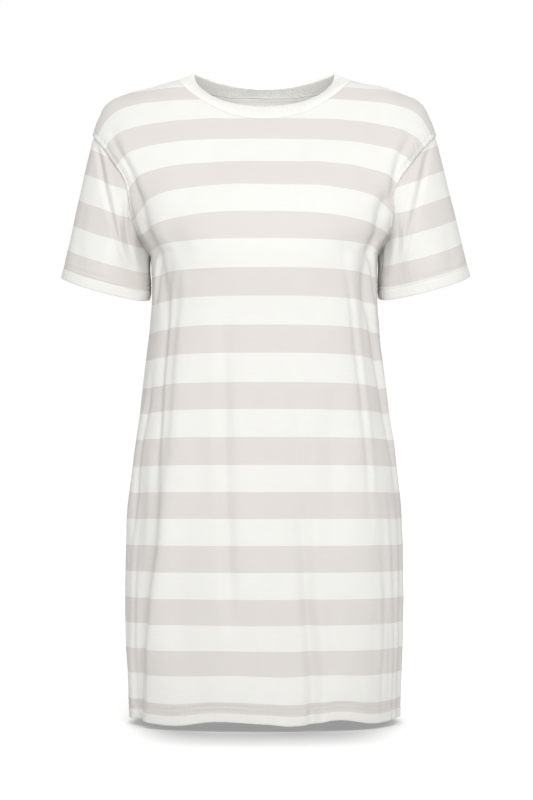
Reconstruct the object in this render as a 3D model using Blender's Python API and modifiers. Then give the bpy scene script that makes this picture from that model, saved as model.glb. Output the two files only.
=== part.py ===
"""A t-shirt dress, filled out as it is worn: front, back, two sleeves and a neckband.

Each piece is a thin wall of cloth. Metres, +Z up, the front faces -Y. The origin lies midway between the
shoulder seams, where the wearer's shoulders hold the dress up. The left sleeve is the wearer's, at +X.
"""

import math

import bpy
import numpy as np

# Cloth
WALL = 0.0012  # single jersey with its folds and ease
TURNED_WALL = 0.0024  # jersey turned up once, at the hem and cuffs
BAND_WALL = 0.0020  # the neckband, folded double
BAND_PROUD = 0.0003  # how far the neckband stands out from the panels
SEAM_TRIM = 0.00019  # each piece stops this far short of a seam's line

# Heights
HEM_Z = -0.835
HEM_TURN = 0.021
ARMPIT_Z = -0.225
SHOULDER_TIP_Z = -0.065
NECK_SIDE_Z = 0.0106
NECK_FRONT_Z = -0.0454
NECK_BACK_Z = -0.0060
NECK_FRONT_BEND = 2.2  # the neckline's rise from its middle to the shoulder follows this power
NECK_BACK_BEND = 2.5

# The filled-out body, a level section in each row: its half width, how far it reaches to the front and to
# the back of its middle, where that middle lies, and how square it is (2 is an ellipse). Sections above the
# armpit go on past the armholes, which cut them off.
SECTION_COLUMNS = ("height", "half_width", "front", "back", "middle_y", "square")
SECTIONS = (
    (-0.835, 0.1795, 0.1240, 0.1150, 0.000, 2.35),
    (-0.787, 0.1812, 0.1250, 0.1165, 0.000, 2.35),
    (-0.734, 0.1835, 0.1260, 0.1185, 0.000, 2.35),
    (-0.628, 0.1842, 0.1270, 0.1215, 0.000, 2.35),
    (-0.521, 0.1782, 0.1270, 0.1200, 0.000, 2.35),
    (-0.415, 0.1629, 0.1275, 0.1090, 0.000, 2.40),
    (-0.310, 0.1515, 0.1300, 0.1010, 0.000, 2.45),
    (-0.262, 0.1488, 0.1335, 0.1020, 0.000, 2.50),
    (-0.225, 0.1500, 0.1350, 0.1060, 0.000, 2.60),
    (-0.211, 0.1585, 0.1335, 0.1080, 0.000, 2.60),
    (-0.197, 0.1685, 0.1305, 0.1100, 0.000, 2.65),
    (-0.165, 0.1820, 0.1210, 0.1120, 0.002, 2.75),
    (-0.132, 0.1950, 0.1055, 0.1100, 0.004, 2.90),
    (-0.100, 0.2120, 0.0885, 0.1050, 0.006, 3.00),
    (-0.083, 0.2215, 0.0795, 0.1010, 0.007, 3.00),
    (-0.065, 0.2272, 0.0700, 0.0960, 0.008, 2.95),
    (-0.048, 0.2235, 0.0610, 0.0890, 0.009, 2.85),
    (-0.037, 0.2190, 0.0560, 0.0830, 0.010, 2.70),
    (-0.027, 0.2140, 0.0508, 0.0770, 0.010, 2.60),
    (-0.016, 0.2030, 0.0465, 0.0690, 0.011, 2.45),
    (-0.005, 0.1790, 0.0425, 0.0590, 0.012, 2.25),
    (0.0050, 0.1405, 0.0395, 0.0490, 0.012, 2.10),
    (0.0106, 0.1177, 0.0375, 0.0440, 0.012, 2.00),
    (0.0160, 0.1030, 0.0355, 0.0400, 0.012, 2.00),
)

# Where each armhole seam crosses each height, on the front and on the back
ARMHOLE_COLUMNS = ("height", "left_front", "right_front", "back")
ARMHOLE = (
    (-0.225, 0.1500, 0.1500, 0.1500),
    (-0.211, 0.1570, 0.1580, 0.1580),
    (-0.197, 0.1640, 0.1665, 0.1668),
    (-0.165, 0.1680, 0.1750, 0.1768),
    (-0.132, 0.1745, 0.1815, 0.1860),
    (-0.100, 0.1960, 0.2010, 0.2050),
    (-0.083, 0.2105, 0.2125, 0.2150),
    (-0.065, 0.2272, 0.2272, 0.2272),
)

# Sleeves: their cuffs' places, given for +X and mirrored on the right
CUFF_COLUMNS = ("side", "centre_x", "centre_z", "half_width")
CUFFS = (("left", 0.2142, -0.2650, 0.0600), ("right", 0.2118, -0.2665, 0.0596))
CUFF_CENTRE_Y = -0.006
CUFF_HALF_DEPTH = 0.0590
CUFF_TILT = math.radians(15.0)  # the cuff's outer end is the higher one
CUFF_FRONT_DROP = 0.007
CUFF_TURN_SHARE = 0.90  # where the cuff's turned-up cloth starts, as a share of the sleeve's length
SLEEVE_SWELL = 0.020  # how far it swells forwards and backwards out of the armhole seam
UNDERARM_SWING = 0.046  # how far it swings out from the body under the arm

# The neckband's free edge, an oval that dips to the front and less so to the nape
NECK_EDGE_HALF_WIDTH = 0.0942
NECK_EDGE_FRONT = 0.0470
NECK_EDGE_BACK = 0.0405
NECK_EDGE_SIDE_Z = 0.0205
NECK_EDGE_FRONT_DIP = 0.0490
NECK_EDGE_BACK_DIP = 0.0155
NECK_EDGE_BACK_BEND = 2.3
BAND_FLAT = 0.0090  # how far the band carries the panels' slope on before it turns in

# Folds of the body. Angles in degrees round the body: 0 front, 90 the wearer's left, 180 back, -90 right.
# A trough has a depth below zero, a ridge above it.
FOLD_COLUMNS = ("top_angle", "top_height", "low_angle", "low_height", "half_width", "depth")
BODY_FOLDS = (
    (-60.0, -0.440, -54.0, -0.900, 0.0150, -0.0042),
    (-40.0, -0.500, -43.0, -0.900, 0.0200, 0.0026),
    (-76.0, -0.400, -72.0, -0.900, 0.0130, 0.0026),
    (18.0, -0.480, 19.5, -0.900, 0.0190, -0.0032),
    (-9.0, -0.460, -10.5, -0.900, 0.0260, 0.0024),
    (47.0, -0.560, 47.5, -0.900, 0.0090, -0.0026),
    (60.0, -0.520, 59.5, -0.900, 0.0080, -0.0024),
    (35.0, -0.520, 34.0, -0.900, 0.0180, 0.0022),
    (-62.0, -0.165, -52.0, -0.330, 0.0095, -0.0040),
    (-50.0, -0.170, -38.0, -0.300, 0.0120, 0.0022),
    (60.0, -0.170, 53.0, -0.340, 0.0095, -0.0032),
    (49.0, -0.190, 42.0, -0.330, 0.0120, 0.0018),
    (-118.0, -0.180, -128.0, -0.420, 0.0120, -0.0045),
    (122.0, -0.180, 131.0, -0.400, 0.0110, -0.0040),
    (-150.0, -0.420, -146.0, -0.900, 0.0220, -0.0045),
    (-166.0, -0.470, -165.0, -0.900, 0.0200, 0.0030),
    (166.0, -0.440, 163.0, -0.900, 0.0180, -0.0038),
    (140.0, -0.480, 138.0, -0.900, 0.0200, 0.0032),
    (120.0, -0.460, 117.0, -0.900, 0.0150, -0.0040),
    (-122.0, -0.500, -118.0, -0.900, 0.0160, -0.0034),
    (178.0, -0.270, 176.0, -0.420, 0.0300, -0.0040),
)
FOLD_FADE = 0.30  # the share of a fold's length in which it runs out at each end

# Folds of a sleeve. Angles in degrees round it: 0 the underarm, 90 front, 180 outside, 270 back. A share
# is of the way from the armhole to the cuff.
SLEEVE_FOLD_COLUMNS = ("side", "top_angle", "top_share", "low_angle", "low_share", "half_angle", "depth")
SLEEVE_FOLDS = (
    ("right", 62.0, 0.05, 40.0, 1.10, 15.0, -0.0038),
    ("right", 100.0, 0.10, 82.0, 1.10, 20.0, 0.0024),
    ("right", 290.0, 0.08, 312.0, 1.10, 16.0, -0.0036),
    ("left", 66.0, 0.05, 46.0, 1.10, 14.0, -0.0036),
    ("left", 104.0, 0.15, 96.0, 1.10, 22.0, 0.0022),
    ("left", 286.0, 0.08, 306.0, 1.10, 17.0, -0.0036),
)

# The wave of the hem's edge
HEM_WAVES = 9
HEM_WAVE = 0.0016
HEM_WAVE_REACH = 0.060
HEM_WAVE_UNEVENNESS = 1.7  # radians by which the waves crowd together and spread apart
HEM_WAVE_START = 0.6  # radians

# Mesh
NECK_COLUMNS = 7
SHOULDER_COLUMNS = 8
BODY_ROWS = 21
CHEST_ROWS = 12
SLEEVE_ROWS = 9
BAND_ROWS = 5
CURVE_SAMPLES = 400
TURN_CROWDING = 1.4  # how much closer the chest's rows lie near the top of the shoulder
CROWDED_FROM = 0.5  # the share of a half panel's width past which they do so in full
ARMHOLE_PULL = 4  # the power by which the rows go over to the armhole's own spacing
NORMAL_TURN = 0.002  # radians: the step round the body in finding the way out of its face
NORMAL_LIFT = 0.0005  # metres: the step up it

COLOURS = {"jersey": (0.86, 0.83, 0.80, 1.0), "rib": (0.93, 0.92, 0.90, 1.0)}
CLOTH_ROUGHNESS = 0.9


def smooth_step(t):
    """0 below 0, 1 above 1 and a soft rise between."""
    t = np.clip(t, 0.0, 1.0)
    return t * t * (3.0 - 2.0 * t)


def read_column(table, columns, name, at):
    """One column of a table whose first column rises, as a smooth curve that never overshoots its rows."""
    rows = np.array(table)
    x, y = rows[:, 0], rows[:, columns.index(name)]
    step = np.diff(x)
    rise = np.diff(y) / step
    before, after = rise[:-1], rise[1:]
    same_way = before * after > 0
    total = np.where(same_way, before + after, 1.0)
    slope = np.concatenate([rise[:1], np.where(same_way, 2.0 * before * after / total, 0.0), rise[-1:]])
    i = np.clip(np.searchsorted(x, at, side="right") - 1, 0, len(step) - 1)
    t = np.clip((at - x[i]) / step[i], 0.0, 1.0)
    return (
        y[i] * (1 + 2 * t) * (1 - t) ** 2
        + y[i + 1] * t * t * (3 - 2 * t)
        + step[i] * t * (1 - t) * (slope[i] * (1 - t) - slope[i + 1] * t)
    )


def section(name, height):
    return read_column(SECTIONS, SECTION_COLUMNS, name, height)


def plain_body(angle, height):
    """The body's outer face with no folds, at an angle round it and a height."""
    side, ahead = np.sin(angle), np.cos(angle)
    square = section("square", height)
    reach = (np.abs(side) ** square + np.abs(ahead) ** square) ** (-1.0 / square)
    depth = np.where(ahead > 0, section("front", height), section("back", height))
    x = section("half_width", height) * reach * side
    y = section("middle_y", height) - depth * reach * ahead
    return np.stack([x, y, height + 0.0 * x], axis=-1)


def body_normal(angle, height):
    """The way out of the body's outer face."""
    round_it = plain_body(angle + NORMAL_TURN, height) - plain_body(angle - NORMAL_TURN, height)
    up_it = plain_body(angle, height + NORMAL_LIFT) - plain_body(angle, height - NORMAL_LIFT)
    out = np.cross(round_it, up_it)
    return out / np.linalg.norm(out, axis=-1, keepdims=True)


def body_folds(angle, height):
    """How far the folds lift or sink the body's outer face."""
    sunk = np.zeros_like(angle)
    girth_radius = np.sqrt(section("half_width", height) * section("front", height))
    for row in BODY_FOLDS:
        fold = dict(zip(FOLD_COLUMNS, row))
        along = (fold["top_height"] - height) / (fold["top_height"] - fold["low_height"])
        swing = (fold["low_angle"] - fold["top_angle"]) * np.clip(along, 0, 1)
        middle = np.radians(fold["top_angle"] + swing)
        apart = (angle - middle + math.pi) % (2 * math.pi) - math.pi
        ends = smooth_step(along / FOLD_FADE) * smooth_step((1.0 - along) / FOLD_FADE)
        sunk += fold["depth"] * ends * np.exp(-((apart * girth_radius / fold["half_width"]) ** 2))
    return sunk


def body(angle, height):
    """The body's outer face, with its folds and the wave of its hem."""
    angle, height = np.broadcast_arrays(np.asarray(angle, float), np.asarray(height, float))
    points = plain_body(angle, height) + body_normal(angle, height) * body_folds(angle, height)[..., None]
    near_hem = smooth_step(1.0 - (height - HEM_Z) / HEM_WAVE_REACH)
    wave = np.sin(HEM_WAVES * angle + HEM_WAVE_UNEVENNESS * np.sin(2 * angle) + HEM_WAVE_START)
    points[..., 2] += HEM_WAVE * near_hem * wave
    return points


def angle_of(x, height, back):
    """The angle round the body at which its face lies x from the middle plane."""
    square = section("square", height)
    across = np.clip(x / section("half_width", height), 0.0, 1.0)
    ahead = (1.0 - across**square) ** (1.0 / square)
    angle = np.arctan2(across, ahead)
    return math.pi - angle if back else angle


def on_body(curve, back):
    """The 3-D points of a curve on the body that is given as x and height."""
    return plain_body(angle_of(curve[:, 0], curve[:, 1], back), curve[:, 1])


def evenly(curve, back, count):
    """A curve on the body, given as x and height, read at count equal steps of its 3-D length."""
    along = np.linalg.norm(np.diff(on_body(curve, back), axis=0), axis=1)
    along = np.concatenate([[0.0], np.cumsum(along)])
    at = np.linspace(0.0, along[-1], count + 1)
    return np.stack([np.interp(at, along, curve[:, k]) for k in range(2)], axis=1)


def neckline(back):
    """The neck seam from the middle out to the shoulder seam, as x and height."""
    share = np.sin(np.linspace(0.0, math.pi / 2, CURVE_SAMPLES))
    middle_z, bend = (NECK_BACK_Z, NECK_BACK_BEND) if back else (NECK_FRONT_Z, NECK_FRONT_BEND)
    x = section("half_width", NECK_SIDE_Z) * share
    height = middle_z + (NECK_SIDE_Z - middle_z) * share**bend
    return evenly(np.stack([x, height], axis=1), back, NECK_COLUMNS)


def shoulder_seam(back):
    """The shoulder seam along the top of the shoulder, from the neck out to its tip, as x and height."""
    height = np.linspace(NECK_SIDE_Z, SHOULDER_TIP_Z, CURVE_SAMPLES)
    return evenly(np.stack([section("half_width", height), height], axis=1), back, SHOULDER_COLUMNS)


def armhole_seam(back, side_name):
    """An armhole seam from the armpit up to the shoulder tip, as x and height."""
    height = np.linspace(ARMPIT_Z, SHOULDER_TIP_Z, CURVE_SAMPLES)
    x = read_column(ARMHOLE, ARMHOLE_COLUMNS, "back" if back else side_name + "_front", height)
    return evenly(np.stack([x, height], axis=1), back, CHEST_ROWS)


def chest_grid(back, side_name):
    """Half a panel's rows from the armpit up to the shoulder and neck, from the middle out."""
    top = np.concatenate([neckline(back), shoulder_seam(back)[1:]])
    edge = armhole_seam(back, side_name)
    across = np.linspace(0.0, 1.0, len(top))
    low_angle = math.pi - across * math.pi / 2 if back else across * math.pi / 2
    low = plain_body(low_angle, np.full(len(top), ARMPIT_Z))[:, [0, 2]]
    edge_share = (edge[:, 1] - ARMPIT_Z) / (SHOULDER_TIP_Z - ARMPIT_Z)
    rows = []
    for row in range(CHEST_ROWS + 1):
        # Rows lie closer together near the top of the shoulder, where the cloth turns over it.
        crowding = 1.0 + TURN_CROWDING * smooth_step(across / CROWDED_FROM)
        up = 1.0 - (1.0 - row / CHEST_ROWS) ** crowding
        up += (edge_share[row] - up) * across**ARMHOLE_PULL
        edge_point = np.stack([np.interp(up, edge_share, edge[:, k]) for k in range(2)], axis=1)
        middle = np.stack([0.0 * up, low[0, 1] + (top[0, 1] - low[0, 1]) * up], axis=1)
        u, w = across[:, None], up[:, None]
        corners = (1 - u) * ((1 - w) * low[0] + w * top[0]) + u * ((1 - w) * low[-1] + w * top[-1])
        rows.append((1 - u) * middle + u * edge_point + (1 - w) * low + w * top - corners)
    return np.array(rows)


def half_panel(back, side_name):
    """Half the front or back, as angles and heights: rows from the hem up, columns from the middle out."""
    chest = chest_grid(back, side_name)
    columns = chest.shape[1]
    low_angle = np.linspace(0.0, math.pi / 2, columns)
    if back:
        low_angle = math.pi - low_angle
    heights = np.concatenate([[HEM_Z], np.linspace(HEM_Z + HEM_TURN, ARMPIT_Z, BODY_ROWS)])[:-1]
    chest_angles = angle_of(chest[..., 0], chest[..., 1], back)
    angles = np.concatenate([np.tile(low_angle, (len(heights), 1)), chest_angles])
    angles[: len(heights) + 1, -1] = math.pi / 2
    angles[-1, NECK_COLUMNS:] = math.pi / 2
    return angles, np.concatenate([np.tile(heights[:, None], (1, columns)), chest[..., 1]])


def panel_grid(back):
    """The front or back, as angles and heights: rows from the hem up, columns from the wearer's right."""
    left_angles, left_heights = half_panel(back, "left")
    right_angles, right_heights = half_panel(back, "right")
    return (
        np.concatenate([-right_angles[:, :0:-1], left_angles], axis=1),
        np.concatenate([right_heights[:, :0:-1], left_heights], axis=1),
    )


def way_off(curve, normals, closed=False):
    """At each point of a seam, the way across it that lies in the cloth."""
    if closed:
        along = np.roll(curve, -1, axis=0) - np.roll(curve, 1, axis=0)
    else:
        along = np.gradient(curve, axis=0)
    across = np.cross(normals, along)
    return across / np.linalg.norm(across, axis=-1, keepdims=True)


def drawn_in(points, normals):
    """A panel's points, with its side, armhole, shoulder and neck edges drawn in from their seams."""
    drawn = points.copy()
    for edge, inner in ((np.s_[-1], np.s_[-2]), (np.s_[:, 0], np.s_[:, 1]), (np.s_[:, -1], np.s_[:, -2])):
        way = way_off(points[edge], normals[edge])
        inwards = np.sign(np.sum(way * (points[inner] - points[edge]), axis=-1, keepdims=True))
        drawn[edge] += SEAM_TRIM * inwards * way
    return drawn


def armhole(front, back, side):
    """One of the panels' values round an armhole: up the front from the armpit, then down the back."""
    column = 0 if side < 0 else -1
    first = len(front) - 1 - CHEST_ROWS
    return np.concatenate([front[first:, column], back[first + 1 : -1, column][::-1]])


def sleeve_folds(side_name, angle, share):
    """How far a sleeve's folds lift or sink it."""
    sunk = np.zeros_like(angle)
    for row in SLEEVE_FOLDS:
        fold = dict(zip(SLEEVE_FOLD_COLUMNS, row))
        if fold["side"] != side_name:
            continue
        along = (share - fold["top_share"]) / (fold["low_share"] - fold["top_share"])
        middle = fold["top_angle"] + (fold["low_angle"] - fold["top_angle"]) * np.clip(along, 0, 1)
        apart = (np.degrees(angle) - middle + 180.0) % 360.0 - 180.0
        ends = smooth_step(along / FOLD_FADE) * smooth_step((1.0 - along) / FOLD_FADE)
        sunk += fold["depth"] * ends * np.exp(-((apart / fold["half_angle"]) ** 2))
    return sunk


def sleeve_points(ring, off, side, side_name):
    """A sleeve's rows from the armhole to the cuff, each from the underarm round by the front."""
    count = len(ring)
    angle = 2 * math.pi * np.arange(count) / count
    under, forward = np.cos(angle)[:, None], np.sin(angle)[:, None]
    along_cuff = np.array([side * math.cos(CUFF_TILT), 0.0, math.sin(CUFF_TILT)])
    axis = np.array([side * math.sin(CUFF_TILT), 0.0, -math.cos(CUFF_TILT)])
    ahead = np.array([0.0, -1.0, 0.0])
    place = next(dict(zip(CUFF_COLUMNS, row)) for row in CUFFS if row[0] == side_name)
    centre = np.array([side * place["centre_x"], CUFF_CENTRE_Y, place["centre_z"]])
    cuff = centre - place["half_width"] * under * along_cuff
    cuff = cuff + forward * (CUFF_HALF_DEPTH * ahead + CUFF_FRONT_DROP * axis)
    start_ring = ring + SEAM_TRIM * off
    length = np.linalg.norm(cuff - start_ring, axis=1)[:, None]
    swing = UNDERARM_SWING * smooth_step(under) ** 2 * np.array([side, 0.0, 0.0])
    start = length * axis + SLEEVE_SWELL * forward * ahead + swing
    end = length * axis
    shares = np.concatenate([np.linspace(0.0, CUFF_TURN_SHARE, SLEEVE_ROWS), [1.0]])
    rows = []
    for t in shares:
        rows.append(
            start_ring * (1 + 2 * t) * (1 - t) ** 2
            + cuff * t * t * (3 - 2 * t)
            + start * t * (1 - t) ** 2
            - end * t * t * (1 - t)
        )
    points = np.array(rows)
    away = points - points.mean(axis=1, keepdims=True)
    away /= np.linalg.norm(away, axis=-1, keepdims=True)
    sunk = sleeve_folds(side_name, np.tile(angle, (len(shares), 1)), np.tile(shares[:, None], (1, count)))
    return points + away * sunk[..., None]


def neck_ring(front, back):
    """One of the panels' values round the neck seam: by the front to the left, back by the nape."""
    middle = front.shape[1] // 2
    front_run = front[-1, middle - NECK_COLUMNS : middle + NECK_COLUMNS + 1]
    back_run = back[-1, middle - NECK_COLUMNS + 1 : middle + NECK_COLUMNS][::-1]
    return np.concatenate([front_run, back_run])


def neck_edge(ring):
    """The neckband's free edge, a point for each of the neck seam's."""
    across = ring[:, 0] / section("half_width", NECK_SIDE_Z)
    inward = np.sqrt(np.clip(1.0 - across**2, 0.0, 1.0))
    middle_y = section("middle_y", NECK_SIDE_Z)
    front = ring[:, 1] < middle_y
    y = middle_y + np.where(front, -NECK_EDGE_FRONT * inward, NECK_EDGE_BACK * inward)
    dip = np.where(front, NECK_EDGE_FRONT_DIP * inward, NECK_EDGE_BACK_DIP * inward**NECK_EDGE_BACK_BEND)
    return np.stack([NECK_EDGE_HALF_WIDTH * across, y, NECK_EDGE_SIDE_Z - dip], axis=1)


def band_points(ring, off):
    """The neckband's rows from the neck seam to the free edge: flat with the panels, then curling in."""
    seam = ring + SEAM_TRIM * off
    flat = seam + BAND_FLAT * off
    edge = neck_edge(ring)
    shares = np.linspace(0.0, 1.0, BAND_ROWS + 1)
    return np.array([(1 - t) ** 2 * seam + 2 * t * (1 - t) * flat + t * t * edge for t in shares])


def cloth_material(name):
    """A plain matt cloth."""
    made = bpy.data.materials.new(name)
    made.use_nodes = True
    shader = made.node_tree.nodes["Principled BSDF"]
    shader.inputs["Base Color"].default_value = COLOURS[name]
    shader.inputs["Roughness"].default_value = CLOTH_ROUGHNESS
    shader.inputs["Metallic"].default_value = 0.0
    return made


def wall_from_grid(name, points, material, wall, closed=False, turned_rows=(), proud=0.0, flip=False):
    """A grid of outer-face points as a wall, thickened inwards; turned_rows are double, at hem or cuff."""
    rows, columns = points.shape[:2]
    faces = []
    for r in range(rows - 1):
        for c in range(columns if closed else columns - 1):
            d = (c + 1) % columns
            face = (r * columns + c, r * columns + d, (r + 1) * columns + d, (r + 1) * columns + c)
            faces.append(face[::-1] if flip else face)
    mesh = bpy.data.meshes.new(name)
    mesh.from_pydata([tuple(p) for p in points.reshape(-1, 3)], [], faces)
    mesh.shade_smooth()
    mesh.materials.append(material)
    piece = bpy.data.objects.new(name, mesh)
    solid = piece.modifiers.new("wall", "SOLIDIFY")
    solid.thickness = wall
    solid.offset = -1.0 + 2.0 * proud / wall
    solid.use_even_offset = True
    if turned_rows:
        solid.thickness = TURNED_WALL
        group = piece.vertex_groups.new(name="turned")
        group.add([r % rows * columns + c for r in turned_rows for c in range(columns)], 1.0, "REPLACE")
        solid.vertex_group = group.name
        solid.thickness_vertex_group = wall / TURNED_WALL
    return piece


def build():
    """The whole dress, in a collection of its own."""
    for old in list(bpy.data.objects):
        bpy.data.objects.remove(old)
    jersey, rib = cloth_material("jersey"), cloth_material("rib")
    dress = bpy.data.collections.new("t_shirt_dress")
    bpy.context.scene.collection.children.link(dress)

    front_grid, back_grid = panel_grid(back=False), panel_grid(back=True)
    front, back = body(*front_grid), body(*back_grid)
    front_out, back_out = body_normal(*front_grid), body_normal(*back_grid)
    pieces = [
        wall_from_grid("front", drawn_in(front, front_out), jersey, WALL, turned_rows=(0, 1)),
        wall_from_grid("back", drawn_in(back, back_out), jersey, WALL, turned_rows=(0, 1), flip=True),
    ]
    for side, side_name in ((1, "left"), (-1, "right")):
        ring, normals = armhole(front, back, side), armhole(front_out, back_out, side)
        off = -side * way_off(ring, normals, closed=True)
        points = sleeve_points(ring, off, side, side_name)
        name = "sleeve_" + side_name
        pieces.append(wall_from_grid(name, points, jersey, WALL, True, turned_rows=(-1, -2), flip=side > 0))
    ring, normals = neck_ring(front, back), neck_ring(front_out, back_out)
    band = band_points(ring, way_off(ring, normals, closed=True))
    pieces.append(wall_from_grid("neckband", band, rib, BAND_WALL, closed=True, proud=BAND_PROUD))
    for piece in pieces:
        dress.objects.link(piece)


build()
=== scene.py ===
"""A striped t-shirt dress, filled out as it is worn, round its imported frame.

Metres, +Z up, the front faces -Y, and the sleeve on the wearer's left is at +X. Every piece of cloth is a
closed thin shell whose outer face is computed from the same sizes as its solid, with finer creases on top.
"""

import math

import bpy
import mathutils
import numpy as np
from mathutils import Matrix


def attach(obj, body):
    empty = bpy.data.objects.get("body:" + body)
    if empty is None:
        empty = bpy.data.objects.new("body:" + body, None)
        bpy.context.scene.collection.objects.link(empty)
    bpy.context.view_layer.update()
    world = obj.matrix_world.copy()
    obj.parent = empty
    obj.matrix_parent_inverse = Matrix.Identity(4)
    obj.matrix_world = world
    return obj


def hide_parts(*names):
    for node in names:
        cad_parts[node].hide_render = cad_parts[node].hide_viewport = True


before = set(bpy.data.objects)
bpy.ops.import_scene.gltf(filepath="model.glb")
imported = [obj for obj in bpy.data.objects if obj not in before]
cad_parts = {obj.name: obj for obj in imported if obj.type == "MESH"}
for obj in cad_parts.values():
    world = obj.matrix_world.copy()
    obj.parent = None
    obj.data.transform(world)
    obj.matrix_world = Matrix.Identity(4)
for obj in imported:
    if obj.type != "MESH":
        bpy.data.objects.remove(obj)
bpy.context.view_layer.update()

# ---------------------------------------------------------------- cloth
WALL = 0.0012  # single jersey
TURNED_WALL = 0.0024  # jersey turned up once, at the hem and cuffs
BAND_WALL = 0.0020  # the neckband, folded double
BAND_PROUD = 0.0001  # how far the neckband stands out from the panels
SEAM_TRIM = 0.00006  # each piece stops this far short of a seam's line
TURN_STEP = 0.0012  # over what length a turned-up edge gets thinner inside
ALLOWANCE_WALL = 0.0006  # how much thicker the cloth is over a seam allowance
SEAM_TURN = 0.004  # over what length a sleeve or band takes over the panels' slope

# ---------------------------------------------------------------- form, as in the solids
HEM_Z = -0.835
HEM_TURN = 0.021
ARMPIT_Z = -0.225
SHOULDER_TIP_Z = -0.065
NECK_SIDE_Z = 0.0106
NECK_FRONT_Z = -0.0454
NECK_BACK_Z = -0.0060
NECK_FRONT_BEND = 2.2
NECK_BACK_BEND = 2.5

SECTION_COLUMNS = ("height", "half_width", "front", "back", "middle_y", "square")
SECTIONS = (
    (-0.835, 0.1795, 0.1240, 0.1150, 0.000, 2.35),
    (-0.787, 0.1812, 0.1250, 0.1165, 0.000, 2.35),
    (-0.734, 0.1835, 0.1260, 0.1185, 0.000, 2.35),
    (-0.628, 0.1842, 0.1270, 0.1215, 0.000, 2.35),
    (-0.521, 0.1782, 0.1270, 0.1200, 0.000, 2.35),
    (-0.415, 0.1629, 0.1275, 0.1090, 0.000, 2.40),
    (-0.310, 0.1515, 0.1300, 0.1010, 0.000, 2.45),
    (-0.262, 0.1488, 0.1335, 0.1020, 0.000, 2.50),
    (-0.225, 0.1500, 0.1350, 0.1060, 0.000, 2.60),
    (-0.211, 0.1585, 0.1335, 0.1080, 0.000, 2.60),
    (-0.197, 0.1685, 0.1305, 0.1100, 0.000, 2.65),
    (-0.165, 0.1820, 0.1210, 0.1120, 0.002, 2.75),
    (-0.132, 0.1950, 0.1055, 0.1100, 0.004, 2.90),
    (-0.100, 0.2120, 0.0885, 0.1050, 0.006, 3.00),
    (-0.083, 0.2215, 0.0795, 0.1010, 0.007, 3.00),
    (-0.065, 0.2272, 0.0700, 0.0960, 0.008, 2.95),
    (-0.048, 0.2235, 0.0610, 0.0890, 0.009, 2.85),
    (-0.037, 0.2190, 0.0560, 0.0830, 0.010, 2.70),
    (-0.027, 0.2140, 0.0508, 0.0770, 0.010, 2.60),
    (-0.016, 0.2030, 0.0465, 0.0690, 0.011, 2.45),
    (-0.005, 0.1790, 0.0425, 0.0590, 0.012, 2.25),
    (0.0050, 0.1405, 0.0395, 0.0490, 0.012, 2.10),
    (0.0106, 0.1177, 0.0375, 0.0440, 0.012, 2.00),
    (0.0160, 0.1030, 0.0355, 0.0400, 0.012, 2.00),
)

ARMHOLE_COLUMNS = ("height", "left_front", "right_front", "back")
ARMHOLE = (
    (-0.225, 0.1500, 0.1500, 0.1500),
    (-0.211, 0.1570, 0.1580, 0.1580),
    (-0.197, 0.1640, 0.1665, 0.1668),
    (-0.165, 0.1680, 0.1750, 0.1768),
    (-0.132, 0.1745, 0.1815, 0.1860),
    (-0.100, 0.1960, 0.2010, 0.2050),
    (-0.083, 0.2105, 0.2125, 0.2150),
    (-0.065, 0.2272, 0.2272, 0.2272),
)
# Beside the armpit the armhole's two edges part from the body's side line by this much of its half width for
# each metre up, over this reach.
ARMPIT_BEND = 0.27
ARMPIT_REACH = 0.030

# A sleeve's cuff: its centre's x and z, its half width, its swing and its lean. Swing is how far the underarm
# bends away from the body at its top, and lean how far it comes in towards it at the cuff. Neither is as in
# the solids, because here the underarm rests against the body.
CUFFS = {
    "left": (0.2142, -0.2650, 0.0600, -0.003, 0.0046),
    "right": (0.2118, -0.2665, 0.0596, 0.003, 0.0026),
}
CUFF_CENTRE_Y = -0.006
CUFF_HALF_DEPTH = 0.0590
CUFF_TILT = math.radians(15.0)
CUFF_FRONT_DROP = 0.007
CUFF_TURN = 0.020
SLEEVE_SWELL = 0.020

NECK_EDGE_HALF_WIDTH = 0.0942
NECK_EDGE_FRONT = 0.0470
NECK_EDGE_BACK = 0.0405
NECK_EDGE_SIDE_Z = 0.0205
NECK_EDGE_FRONT_DIP = 0.0490
NECK_EDGE_BACK_DIP = 0.0155
NECK_EDGE_BACK_BEND = 2.3
BAND_FLAT = 0.0090

HEM_WAVES = 9  # ripples round the hem's edge
HEM_WAVE = 0.0016
HEM_WAVE_REACH = 0.060
HEM_WAVE_UNEVENNESS = 1.7
HEM_WAVE_START = 0.6
# How far the hem is drawn up beyond that, by its folds: degrees round it, and the lift
HEM_LIFTS = (
    (-180, 0.001),
    (-163, 0),
    (-150, 0.0048),
    (-136, 0.0004),
    (-120, 0.0034),
    (-104, 0),
    (-84, 0.0016),
    (-66, 0.001),
    (-52, 0.0014),
    (-35, 0),
    (-12.5, 0.0068),
    (8.5, -0.0006),
    (16, 0.0022),
    (28, 0.0066),
    (46, 0.0012),
    (62, 0.0022),
    (84, 0.0012),
    (104, 0),
    (118, 0.0036),
    (134, 0.0002),
    (152, 0.0052),
    (168, 0),
    (180, 0.001),
)
HEM_LIFT_REACH = 0.150

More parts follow.
